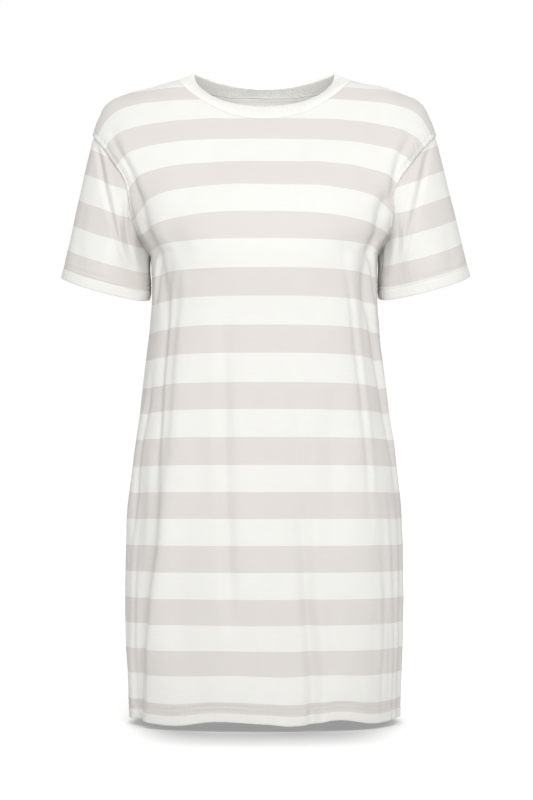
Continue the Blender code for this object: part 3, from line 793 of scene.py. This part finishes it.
def panel_sewing(points):
    """How far sewing lifts or sinks a panel: side and armhole seams, shoulder and neck seams, and the hem."""
    rows = len(points)
    up, across = lengths(points, axis=0), lengths(points, axis=1)
    above_armpit = np.clip((np.arange(rows) - (rows - 1 - CHEST_ROWS)) / ARMPIT_ROWS, 0.0, 1.0)[:, None]
    raised = above_armpit * smooth_step((up[-1] - up + ALLOWANCE) / RIDGE_RUN)
    lift = np.zeros(points.shape[:2])
    for distance, edge in ((across, 0), (across[:, -1:] - across, -1)):
        lift += seam_sink(distance) + pucker(distance, up[:, [edge]])
        lift += raised * (allowance_rise(distance) + ARMHOLE_GROOVE * groove(distance - ARMHOLE_ROW))
    down = up[-1] - up
    lift += off_corners(points) * (seam_sink(down, NECK_SINK) + NECK_PUCKER * pucker(down, across))
    sew_edge(lift, up, across, HEM_ROWS, HEM_TURN)
    return lift


# ================================================================ stripes
def stripe_number(angle, height, back):
    """Where a point lies in the run of stripes: odd to even numbers are grey."""
    turned = np.abs(angle) if not back else math.pi - np.abs(angle)
    share = np.clip(turned / DROOP_AT, 0.0, DROOP_MOST) ** DROOP_POWER
    level = height + read_column(DROOP, height) * share
    number = read_column(STRIPES, level)
    if back:
        run = np.linspace(ARMPIT_Z, NECK_SIDE_Z, CURVE_SAMPLES)
        length = lengths(plain_body(np.full(len(run), math.pi), run))
        higher = read_column(STRIPES, ARMPIT_Z) - np.interp(level, run, length) / STRIPE_WIDTH
        number = np.where(level > ARMPIT_Z, higher, number)
    return number


def across_cloth(angle, height, back):
    """How far a point of a panel lies from its middle, round the body at its own height."""
    middle = np.sign(angle) * math.pi if back else np.zeros_like(angle)
    share = np.linspace(0.0, 1.0, ACROSS_SAMPLES)[:, None, None]
    heights = np.broadcast_to(height, (ACROSS_SAMPLES, *height.shape))
    run = plain_body(middle + (angle - middle) * share, heights)
    return np.sign(angle - middle) * lengths(run)[-1]


# ================================================================ meshes
def add_object(name, vertices, faces, tags):
    """A smooth mesh object. A tag is a point's place in the flat cloth, across and along, and its stripe."""
    mesh = bpy.data.meshes.new(name)
    mesh.from_pydata(vertices.tolist(), [], faces)
    mesh.shade_smooth()
    attribute = mesh.attributes.new("cloth", "FLOAT_VECTOR", "POINT")
    attribute.data.foreach_set("vector", tags.astype(np.float32).ravel())
    piece = bpy.data.objects.new(name, mesh)
    bpy.context.scene.collection.objects.link(piece)
    return piece


def quads(grid, closed=False):
    """The faces of a grid of vertex numbers."""
    across = np.concatenate([grid, grid[:, :1]], axis=1) if closed else grid
    low, high = across[:-1], across[1:]
    return np.stack([low[:, :-1], low[:, 1:], high[:, 1:], high[:, :-1]], axis=-1).reshape(-1, 4)


def shell(name, outer, normals, thickness, tags, closed=False, free=("low",), flip=False):
    """A grid of outer-face points as a closed thin shell, round at the rims named in free, else square."""
    rows, columns = outer.shape[:2]
    half = np.broadcast_to(thickness, (rows, columns))[..., None] / 2
    centre = outer - normals * half
    turns = (math.pi * np.arange(1, RIM_STEPS + 1) / (RIM_STEPS + 1))[:, None, None]

    def rim(which, edge, beside):
        way = unit(outer[edge] - outer[beside])
        swell = RIM_SWELL if which in free else 0.0
        return centre[edge] + half[edge] * (np.cos(turns) * normals[edge] + swell * np.sin(turns) * way)

    def numbers(count, wide):
        first = numbers.used
        numbers.used += count * wide
        return np.arange(first, numbers.used).reshape(count, wide)

    numbers.used = 0
    face, lining = numbers(rows, columns), numbers(rows, columns)
    low, high = numbers(RIM_STEPS, columns), numbers(RIM_STEPS, columns)
    points = [outer, outer - 2 * half * normals, rim("low", 0, 1), rim("high", -1, -2)]
    cloth = [tags, tags, np.tile(tags[:1], (RIM_STEPS, 1, 1)), np.tile(tags[-1:], (RIM_STEPS, 1, 1))]
    faces = [
        quads(face, closed),
        quads(lining[::-1], closed),
        quads(np.concatenate([face[-1:], high, lining[-1:]]), closed),
        quads(np.concatenate([lining[:1], low[::-1], face[:1]]), closed),
    ]
    if not closed:
        for column, beside in ((0, 1), (-1, -2)):
            side = numbers(RIM_STEPS, rows)
            points.append(rim("side", np.s_[:, column], np.s_[:, beside]))
            cloth.append(np.tile(tags[None, :, column], (RIM_STEPS, 1, 1)))
            side[:, 0], side[:, -1] = low[:, column], high[:, column]
            strip = np.concatenate([face[None, :, column], side, lining[None, :, column]]).T
            faces.append(quads(strip if column else strip[:, ::-1]))
    faces = np.concatenate(faces)
    if flip:
        faces = faces[:, ::-1]
    vertices = np.concatenate([p.reshape(-1, 3) for p in points])
    tags = np.concatenate([t.reshape(-1, 3) for t in cloth])
    used = np.unique(faces)
    renumbered = np.zeros(len(vertices), int)
    renumbered[used] = np.arange(len(used))
    return add_object(name, vertices[used], renumbered[faces].tolist(), tags[used])


def evenly_spaced(points, normals, pitch):
    """Places a pitch apart along a line of points, with the way along it and the way out of the cloth."""
    along = lengths(points)
    count = max(int(along[-1] / pitch), 1)
    at = (np.arange(count) + 0.5) * along[-1] / count
    way = unit(read_along(along, np.gradient(points, axis=0), at))
    return read_along(along, points, at), way, unit(read_along(along, normals, at))


def stitches(name, lines):
    """Rows of stitches as one mesh of small spindles, each lying on the cloth along a line."""
    runs = [evenly_spaced(points, normals, STITCH_PITCH) for points, normals in lines]
    place, way, out = (np.concatenate(parts) for parts in zip(*runs))
    side = np.cross(way, out)
    turn = 2 * math.pi * np.arange(STITCH_SIDES) / STITCH_SIDES
    round_it = np.cos(turn)[:, None] * out[:, None, None] + np.sin(turn)[:, None] * side[:, None, None]
    rings = np.array(STITCH_RINGS)
    lift = STITCH_RADIUS * rings[:, 2, None] * out[:, None]
    middle = place[:, None] + STITCH_LENGTH * rings[:, 0, None] * way[:, None] + lift
    vertices = middle[:, :, None] + STITCH_RADIUS * rings[:, 1, None, None] * round_it
    count, bands = len(place), len(rings)
    numbers = np.arange(count * bands * STITCH_SIDES).reshape(count, bands, STITCH_SIDES)
    faces = []
    for stitch in numbers:
        faces += quads(stitch, closed=True).tolist()
        faces.append(stitch[0][::-1].tolist())
        faces.append(stitch[-1].tolist())
    tags = np.zeros((numbers.size, 3))
    tags[:, 0] = np.tile(np.repeat(rings[:, 0] * STITCH_LENGTH, STITCH_SIDES), count)
    tags[:, 1] = np.tile(turn, count * bands)
    return add_object(name, vertices.reshape(-1, 3), faces, tags)


def line_at(points, normals, distance, at):
    """The line in a grid at a distance from its first row's edge, as points and normals."""
    columns = range(points.shape[1])
    line, out = (
        np.array([read_along(distance[:, c], values[:, c], [at])[0] for c in columns])
        for values in (points, normals)
    )
    return line, unit(out)


def round_again(ring):
    """A ring's values with the first again at their end."""
    return np.concatenate([ring, ring[:1]])


# ================================================================ the pieces
def panel(back):
    """The front or back, its outer face's points, normals, stripe tags and thickness."""
    angles, heights = panel_grid(back)
    plain = body(angles, heights)
    out = body_normal(angles, heights)
    points = plain + out * panel_sewing(plain)[..., None]
    points = drawn_in(points, out)
    normals = grid_normals(points, closed=False) * (-1.0 if back else 1.0)
    up, across = lengths(points, axis=0), lengths(points, axis=1)
    plainly = np.maximum(np.exp((up - up[-1]) / SEAM_TURN), 1.0 - off_corners(points))
    normals = turned_to(normals, out, plainly)
    number = stripe_number(angles, heights, back)
    tags = np.stack([across_cloth(angles, heights, back), -STRIPE_WIDTH * number, number], axis=-1)
    from_side = np.minimum(across, across[:, -1:] - across)
    from_top = up[-1] - up
    thickness = turned_wall(up, HEM_TURN)
    thickness += ALLOWANCE_WALL * smooth_step((ALLOWANCE - np.minimum(from_side, from_top)) / TURN_STEP)
    return {"plain": plain, "out": out, "points": points, "normals": normals, "tags": tags, "wall": thickness}


def armhole(front, back, side):
    """One of the panels' values round an armhole, up the front from the armpit and then down the back.

    Each point there is followed by one midway to the next, read from a cubic through the four nearest.
    """
    column = 0 if side < 0 else -1
    first = len(front) - 1 - CHEST_ROWS
    ring = np.concatenate([front[first:, column], back[first + 1 : -1, column][::-1]])
    one_on = np.roll(ring, -1, axis=0)
    midway = (9 * (ring + one_on) - np.roll(ring, 1, axis=0) - np.roll(ring, -2, axis=0)) / 16
    return np.stack([ring, midway], axis=1).reshape(-1, 3)


def sleeve_creases(side_name, angle, share):
    """How far a sleeve's creases lift or sink it."""
    sunk = np.zeros_like(angle)
    for top_angle, top_share, low_angle, low_share, half_angle, depth, lip in SLEEVE_CREASES[side_name]:
        along = (share - top_share) / (low_share - top_share)
        middle = top_angle + (low_angle - top_angle) * np.clip(along, 0, 1)
        apart = (np.degrees(angle) - middle + 180.0) % 360.0 - 180.0
        sunk += run_out(along) * crease(apart / half_angle, depth, lip)
    return sunk


def sleeve_angles(count):
    """The angle of each column round a sleeve, from the underarm by the front."""
    up = math.pi * crowded(CHEST_ROWS, ROW_CROWDING)
    angle = np.concatenate([up, 2 * math.pi - up[-2::-1]])
    return np.interp(np.arange(count) / 2, np.arange(len(angle)), angle)


def sleeve_surface(side, side_name, ring, ring_out):
    """A sleeve's outer face before it is sewn, each row from the underarm round by the front."""
    centre_x, centre_z, half_width, swing, lean = CUFFS[side_name]
    off = -side * way_off(ring, ring_out, closed=True)
    angle = sleeve_angles(len(ring))
    under, forward = np.cos(angle)[:, None], np.sin(angle)[:, None]
    along_cuff = np.array([side * math.cos(CUFF_TILT), 0.0, math.sin(CUFF_TILT)])
    axis = np.array([side * math.sin(CUFF_TILT), 0.0, -math.cos(CUFF_TILT)])
    ahead = np.array([0.0, -1.0, 0.0])
    underarm = smooth_step(under) ** 2 * np.array([side, 0.0, 0.0])
    cuff = np.array([side * centre_x, CUFF_CENTRE_Y, centre_z]) - half_width * under * along_cuff
    cuff = cuff + forward * (CUFF_HALF_DEPTH * ahead + CUFF_FRONT_DROP * axis) - lean * underarm
    start_ring = ring + SEAM_TRIM * off
    length = np.linalg.norm(cuff - start_ring, axis=1)[:, None]
    start = length * axis + SLEEVE_SWELL * forward * ahead + swing * underarm
    t = sleeve_shares()[:, None, None]
    seam_part = (1 + 2 * t) * (1 - t) ** 2
    points = start_ring * seam_part + cuff * t * t * (3 - 2 * t)
    points = points + start * t * (1 - t) ** 2 - length * axis * t * t * (1 - t)
    away = unit(points - points.mean(axis=1, keepdims=True))
    share = np.tile(t[..., 0], (1, len(angle)))
    lift = sleeve_creases(side_name, np.tile(angle, (len(t), 1)), share)
    lift *= smooth_step(share / SLEEVE_CREASES_FROM)
    return points + away * lift[..., None], seam_part[..., 0]


def sleeve_stripes(side_name, from_cuff):
    """Where a point of a sleeve lies in its run of stripes."""
    edges = SLEEVE_STRIPES[side_name]
    number = 1.0 + np.interp(from_cuff, edges, np.arange(len(edges)))
    number -= np.clip(edges[0] - from_cuff, 0.0, None) / STRIPE_WIDTH
    return number + np.clip(from_cuff - edges[-1], 0.0, None) / STRIPE_WIDTH


def sleeve(side, side_name, front, back):
    """A sleeve's shell, from its armhole to its cuff, and its cuff's stitches."""
    ring = armhole(front["plain"], back["plain"], side)
    ring_out = armhole(front["out"], back["out"], side)
    points, seam_part = sleeve_surface(side, side_name, ring, ring_out)
    from_seam = lengths(points)
    from_cuff = from_seam[-1] - from_seam
    normals = turned_to(grid_normals(points, closed=True) * -side, ring_out, np.exp(-from_seam / SEAM_TURN))
    round_ring = lengths(round_again(ring))[:-1]
    round_cuff = lengths(round_again(points[-1]))[:-1]
    lift = rumple(points) * (1 - seam_part)
    lift += HEM_PUCKER * pucker(from_seam, round_ring) - SLEEVE_SINK * np.exp(-from_seam / SLEEVE_SINK_REACH)
    sew_edge(lift, from_cuff, round_cuff, CUFF_ROWS, CUFF_TURN)
    points = points + normals * lift[..., None]
    normals = grid_normals(points, closed=True) * -side
    number = sleeve_stripes(side_name, from_cuff)
    tags = np.stack([np.broadcast_to(round_cuff, number.shape), from_cuff, number], axis=-1)
    name = "sleeve_" + side_name + "_cloth"
    wall = turned_wall(from_cuff, CUFF_TURN)
    piece = shell(name, points, normals, wall, tags, closed=True, free=("high",), flip=side > 0)
    lines = [line_at(points[::-1], normals[::-1], from_cuff[::-1], row) for row in CUFF_ROWS]
    lines = [(round_again(line), round_again(out)) for line, out in lines]
    return piece, stitches(name + "_stitches", lines)


def sleeve_shares():
    """How far down a sleeve each row lies: closer together at the armhole and in the turned-up cuff."""
    top = crowded(SLEEVE_ROWS, SLEEVE_CROWDING)
    return np.concatenate([(1.0 - top[::-1]) * CUFF_FROM, np.linspace(CUFF_FROM, 1.0, CUFF_ROWS_FINE)[1:]])


def neck_curve(back, shares):
    """The neck seam as angles and heights, at shares of the way from its middle to a shoulder seam."""
    places = neckline(back, shares)
    return angle_of(places[:, 0], places[:, 1], back), places[:, 1]


def neck_ring():
    """The neck seam round from the middle of the front: each point's length along it, angle and height."""
    count = RIBS * RIB_COLUMNS
    shares = np.linspace(0, 1, CURVE_SAMPLES)
    front_half, back_half = (lengths(plain_body(*neck_curve(back, shares)))[-1] for back in (False, True))
    half = front_half + back_half
    round_it = np.arange(count) / count * 2 * half
    left = round_it < half
    from_front = np.where(left, round_it, 2 * half - round_it)
    front_angle, front_height = neck_curve(False, np.clip(from_front / front_half, 0, 1))
    back_angle, back_height = neck_curve(True, np.clip(1 - (from_front - front_half) / back_half, 0, 1))
    in_front = from_front <= front_half
    angle = np.where(in_front, front_angle, back_angle) * np.where(left, 1, -1)
    return round_it, angle, np.where(in_front, front_height, back_height)


def neckband():
    """The neckband: from the neck seam it carries the panels' slope on, then curls in to its free edge."""
    round_it, angle, height = neck_ring()
    plain, out = plain_body(angle, height), body_normal(angle, height)
    off = way_off(plain, out, closed=True)
    seam = body(angle, height) + SEAM_TRIM * off
    flat = seam + BAND_FLAT * off
    t = np.linspace(0.0, 1.0, BAND_ROWS + 1)[:, None, None]
    points = (1 - t) ** 2 * seam + 2 * t * (1 - t) * flat + t * t * neck_edge(plain)
    from_seam = lengths(points)
    normals = turned_to(grid_normals(points, closed=True), out, np.exp(-from_seam / SEAM_TURN))
    rib = (0.5 + 0.5 * np.cos(2 * math.pi * np.arange(len(angle)) / RIB_COLUMNS)) ** RIB_SHARPNESS
    rib = rib * smooth_step(from_seam / RIB_START)
    lift = seam_sink(from_seam, NECK_SINK) + BAND_PROUD * smooth_step(from_seam / BAND_START)
    lift += RIB_HEIGHT * rib
    points = points + normals * lift[..., None]
    tags = np.stack([np.broadcast_to(round_it, from_seam.shape), from_seam, 0 * from_seam], axis=-1)
    wall = BAND_WALL + 2 * RIB_HEIGHT * rib
    return shell("neckband_cloth", points, normals, wall, tags, closed=True, free=("high",))


def neck_edge(ring):
    """The neckband's free edge, a point for each of the neck seam's."""
    across = ring[:, 0] / section("half_width", NECK_SIDE_Z)
    inward = np.sqrt(np.clip(1.0 - across**2, 0.0, 1.0))
    middle_y = section("middle_y", NECK_SIDE_Z)
    front = ring[:, 1] < middle_y
    y = middle_y + np.where(front, -NECK_EDGE_FRONT * inward, NECK_EDGE_BACK * inward)
    dip = np.where(front, NECK_EDGE_FRONT_DIP * inward, NECK_EDGE_BACK_DIP * inward**NECK_EDGE_BACK_BEND)
    return np.stack([NECK_EDGE_HALF_WIDTH * across, y, NECK_EDGE_SIDE_Z - dip], axis=1)


def panel_piece(name, made, back):
    """The front or back's shell, with its hem's stitches and those beside its armholes."""
    points, normals = made["points"], made["normals"]
    piece = shell(name, points, normals, made["wall"], made["tags"], flip=back)
    up = lengths(points)
    lines = [line_at(points, normals, up, row) for row in HEM_ROWS]
    first = len(points) - 1 - CHEST_ROWS + 2
    for order in (1, -1):
        chest, out = points[first:-1, ::order], normals[first:-1, ::order]
        across = lengths(chest, axis=1)
        sideways = (chest.transpose(1, 0, 2), out.transpose(1, 0, 2), across.T)
        lines.append(line_at(*sideways, ARMHOLE_ROW))
    return piece, stitches(name + "_stitches", lines)


# ================================================================ materials
def set_inputs(node, inputs):
    """Set a node's inputs, or link them where the value is another node's output."""
    for socket, value in dict(inputs).items():
        if isinstance(value, bpy.types.NodeSocket):
            node.id_data.links.new(value, node.inputs[socket])
        else:
            node.inputs[socket].default_value = value


def adder(owner):
    """A way to add nodes to a material or world."""

    def add(kind, inputs=(), **settings):
        node = owner.node_tree.nodes.new(kind)
        for key, value in settings.items():
            setattr(node, key, value)
        set_inputs(node, inputs)
        return node

    return add


def new_material(name):
    """An empty node material with its shader, and a way to add nodes to it."""
    made = bpy.data.materials.new(name)
    made.use_nodes = True
    return made, made.node_tree.nodes["Principled BSDF"], adder(made)


def math_node(add, operation, *values):
    """A Math node's result."""
    return add("ShaderNodeMath", dict(enumerate(values)), operation=operation).outputs[0]


def soft_range(add, value, start, end, first=0.0, last=1.0):
    """A soft change from the first number to the last while a value goes from start to end."""
    inputs = {"Value": value, "From Min": start, "From Max": end, "To Min": first, "To Max": last}
    return add("ShaderNodeMapRange", inputs, interpolation_type="SMOOTHSTEP").outputs[0]


def shaded(add, colour, shade):
    """A colour times a shade."""
    return add("ShaderNodeVectorMath", {0: colour, "Scale": shade}, operation="SCALE").outputs[0]


def relief(add, height, distance):
    """The shading of a height."""
    return add("ShaderNodeBump", {"Height": height, "Strength": 1.0, "Distance": distance}).outputs[0]


def cloth_place(add):
    """A point's tag: three numbers, its place in the flat cloth and its stripe."""
    place = add("ShaderNodeAttribute", attribute_name="cloth").outputs["Vector"]
    return add("ShaderNodeSeparateXYZ", {0: place}).outputs


def scaled_noise(add, across, along, u_size, v_size, seed):
    """Noise whose grains are u_size by v_size metres in the flat cloth."""
    u = math_node(add, "MULTIPLY", across, 1.0 / u_size)
    v = math_node(add, "MULTIPLY", along, 1.0 / v_size)
    vector = add("ShaderNodeCombineXYZ", {0: u, 1: v, 2: seed}).outputs[0]
    return add("ShaderNodeTexNoise", {"Vector": vector, "Scale": 1.0, "Detail": 2.0}).outputs[0]


def knit(add, across, along, wale, course):
    """The height of plain knit stitches: a column of small Vs to each wale."""
    u = math_node(add, "MULTIPLY", across, 2 * math.pi / wale)
    column = math_node(add, "COSINE", u)
    slant = math_node(add, "ABSOLUTE", math_node(add, "SINE", math_node(add, "MULTIPLY", u, 0.5)))
    lean = math_node(add, "MULTIPLY", slant, math.pi)
    v = math_node(add, "MULTIPLY_ADD", along, 2 * math.pi / course, lean)
    loop = math_node(add, "SINE", v)
    return math_node(add, "MULTIPLY_ADD", loop, 0.5, column)


def striped(add, number):
    """Grey and white by the stripe that a point lies in, a little soft between them."""
    tread = math_node(add, "PINGPONG", math_node(add, "ADD", number, 0.5), 1.0)
    white = soft_range(add, tread, 0.5 - STRIPE_BLUR, 0.5 + STRIPE_BLUR)
    # inputs 6 and 7 and output 2 are the Mix node's colours
    return add("ShaderNodeMix", {0: white, 6: GREY, 7: WHITE}, data_type="RGBA").outputs[2]


def cloth_material(name, wale, course):
    """Soft matt knit cloth: striped jersey, or plain white rib."""
    made, shader, add = new_material(name)
    across, along, number = cloth_place(add)
    slub = scaled_noise(add, across, along, SLUB_LENGTH, SLUB_WIDTH, 0.0)
    fibre = scaled_noise(add, across, along, FIBRE, FIBRE, 3.0)
    stitch = knit(add, across, along, wale, course)
    shade = math_node(add, "MULTIPLY_ADD", slub, SLUB_SHADE, 1.0 - SLUB_SHADE / 2)
    shade = math_node(add, "MULTIPLY_ADD", math_node(add, "SUBTRACT", fibre, 0.5), FIBRE_SHADE, shade)
    # painted shade in the knit's hollows, from the same stitch height as its relief
    shade = math_node(add, "MULTIPLY_ADD", stitch, KNIT_PAINTED_SHADE, shade)
    slub_height = math_node(add, "MULTIPLY", slub, SLUB_RELIEF)
    height = math_node(add, "MULTIPLY_ADD", stitch, KNIT_RELIEF, slub_height)
    inputs = {
        "Base Color": shaded(add, striped(add, number) if name == "jersey" else RIB_WHITE, shade),
        "Normal": relief(add, height, 1.0),
        "Roughness": CLOTH_ROUGHNESS,
        "Specular IOR Level": CLOTH_SPECULAR,
        "Sheen Weight": SHEEN,
        "Sheen Roughness": SHEEN_ROUGHNESS,
    }
    set_inputs(shader, inputs)
    return made


def thread_material():
    """Sewing thread, with its twist."""
    made, shader, add = new_material("thread")
    along, turn = cloth_place(add)[:2]
    twist = math_node(add, "SINE", math_node(add, "MULTIPLY_ADD", along, 2 * math.pi / THREAD_TWIST, turn))
    # painted shade in the twist's grooves, from the same twist as its relief
    shade = math_node(add, "MULTIPLY_ADD", twist, THREAD_PAINTED_SHADE, 1.0 - THREAD_PAINTED_SHADE)
    inputs = {
        "Base Color": shaded(add, THREAD, shade),
        "Normal": relief(add, twist, THREAD_RELIEF),
        "Roughness": THREAD_ROUGHNESS,
    }
    set_inputs(shader, inputs)
    return made


def floor_material():
    """Plain pale studio floor. To the camera it glows, like a lit sweep, and has a painted soft shadow by the
    dress.
    """
    made, shader, add = new_material("floor")
    place = add("ShaderNodeNewGeometry").outputs["Position"]
    distance = add("ShaderNodeVectorMath", {0: place}, operation="LENGTH").outputs["Value"]
    glow = soft_range(add, distance, *GLOW_REACH, FLOOR_GLOW_NEAR, FLOOR_GLOW)
    seen = add("ShaderNodeLightPath").outputs["Is Camera Ray"]
    # painted shadow: for the camera only, the floor's colour is darkened by its ambient occlusion near the
    # dress
    open_share = add("ShaderNodeAmbientOcclusion", {"Distance": PAINTED_SHADOW_REACH}).outputs["AO"]
    aside = math_node(add, "ABSOLUTE", add("ShaderNodeSeparateXYZ", {0: place}).outputs["X"])
    # the painted shadow's strength: full in front of and behind the dress, none far to its sides
    beside = soft_range(add, aside, *PAINTED_SHADOW_SIDES, PAINTED_SHADOW_POWER, 0.0)
    painted_shadow = math_node(add, "POWER", open_share, math_node(add, "MULTIPLY", seen, beside))
    inputs = {
        "Base Color": shaded(add, FLOOR, painted_shadow),
        "Emission Color": (1.0, 1.0, 1.0, 1.0),
        "Emission Strength": math_node(add, "MULTIPLY", glow, seen),
        "Roughness": 1.0,
        "Specular IOR Level": 0.0,
    }
    set_inputs(shader, inputs)
    return made


# ================================================================ the studio
def camera():
    """A level camera at the photograph's angle."""
    data = bpy.data.cameras.new("camera")
    data.sensor_fit = "HORIZONTAL"
    data.sensor_width = SENSOR
    data.lens = SENSOR * EYE_DISTANCE / (IMAGE_WIDTH * METRES_PER_PIXEL)
    data.clip_end = CLIP_END
    made = bpy.data.objects.new("camera", data)
    made.location = ((IMAGE_WIDTH / 2 - MIDDLE_PIXEL) * METRES_PER_PIXEL, -EYE_DISTANCE, EYE_Z)
    made.rotation_euler = (math.pi / 2, 0.0, 0.0)
    return made


def surround():
    """An even white world, brighter to the camera than as a light."""
    world = bpy.data.worlds.new("surround")
    world.use_nodes = True
    add = adder(world)
    seen = add("ShaderNodeLightPath").outputs["Is Camera Ray"]
    strength = add("ShaderNodeMapRange", {"Value": seen, "To Min": SURROUND, "To Max": BACKDROP}).outputs[0]
    inputs = {"Color": (1.0, 1.0, 1.0, 1.0), "Strength": strength}
    set_inputs(world.node_tree.nodes["Background"], inputs)
    return world


def light(name, place, aim, size, power):
    """A soft lamp turned to what it lights, which the camera doesn't see."""
    lamp = bpy.data.lights.new(name, "AREA")
    lamp.shape = "RECTANGLE"
    lamp.size, lamp.size_y = size
    lamp.energy = power
    made = bpy.data.objects.new(name, lamp)
    made.location = place
    made.rotation_euler = (made.location - mathutils.Vector(aim)).to_track_quat("Z", "Y").to_euler()
    made.visible_camera = False
    return made


def level_floor():
    """A wide level floor just under the hem."""
    mesh = bpy.data.meshes.new("floor")
    corners = [(x * FLOOR_HALF, y * FLOOR_HALF, FLOOR_Z) for x, y in ((-1, -1), (1, -1), (1, 1), (-1, 1))]
    mesh.from_pydata(corners, [], [(0, 1, 2, 3)])
    mesh.materials.append(floor_material())
    return bpy.data.objects.new("floor", mesh)


def studio():
    """The photograph's view: its camera, an even white surround, soft lights and a pale floor."""
    scene = bpy.context.scene
    scene.view_settings.view_transform = "Standard"
    scene.world = surround()
    eye, floor = camera(), level_floor()
    for item in [eye, *[light(*row) for row in LIGHTS], floor]:
        scene.collection.objects.link(item)
    scene.camera = eye


def declare(piece, node, material):
    """A piece rides on the dress, stands for its solid and takes its slot's finish."""
    piece.data.materials.append(material)
    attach(piece, "root")
    if node:
        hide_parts(node)


def dress():
    """The whole dress round its frame."""
    jersey = cloth_material("jersey", JERSEY_WALE, JERSEY_COURSE)
    rib = cloth_material("rib", RIB_WALE, RIB_COURSE)
    thread = thread_material()
    front, back = panel(back=False), panel(back=True)
    made = [
        ("front", *panel_piece("front_cloth", front, back=False)),
        ("back", *panel_piece("back_cloth", back, back=True)),
        ("sleeve_left", *sleeve(1, "left", front, back)),
        ("sleeve_right", *sleeve(-1, "right", front, back)),
    ]
    band = neckband()
    declare(band, "neckband", rib)
    for node, piece, sewing in made:
        declare(piece, node, jersey)
        declare(sewing, None, thread)


dress()
studio()
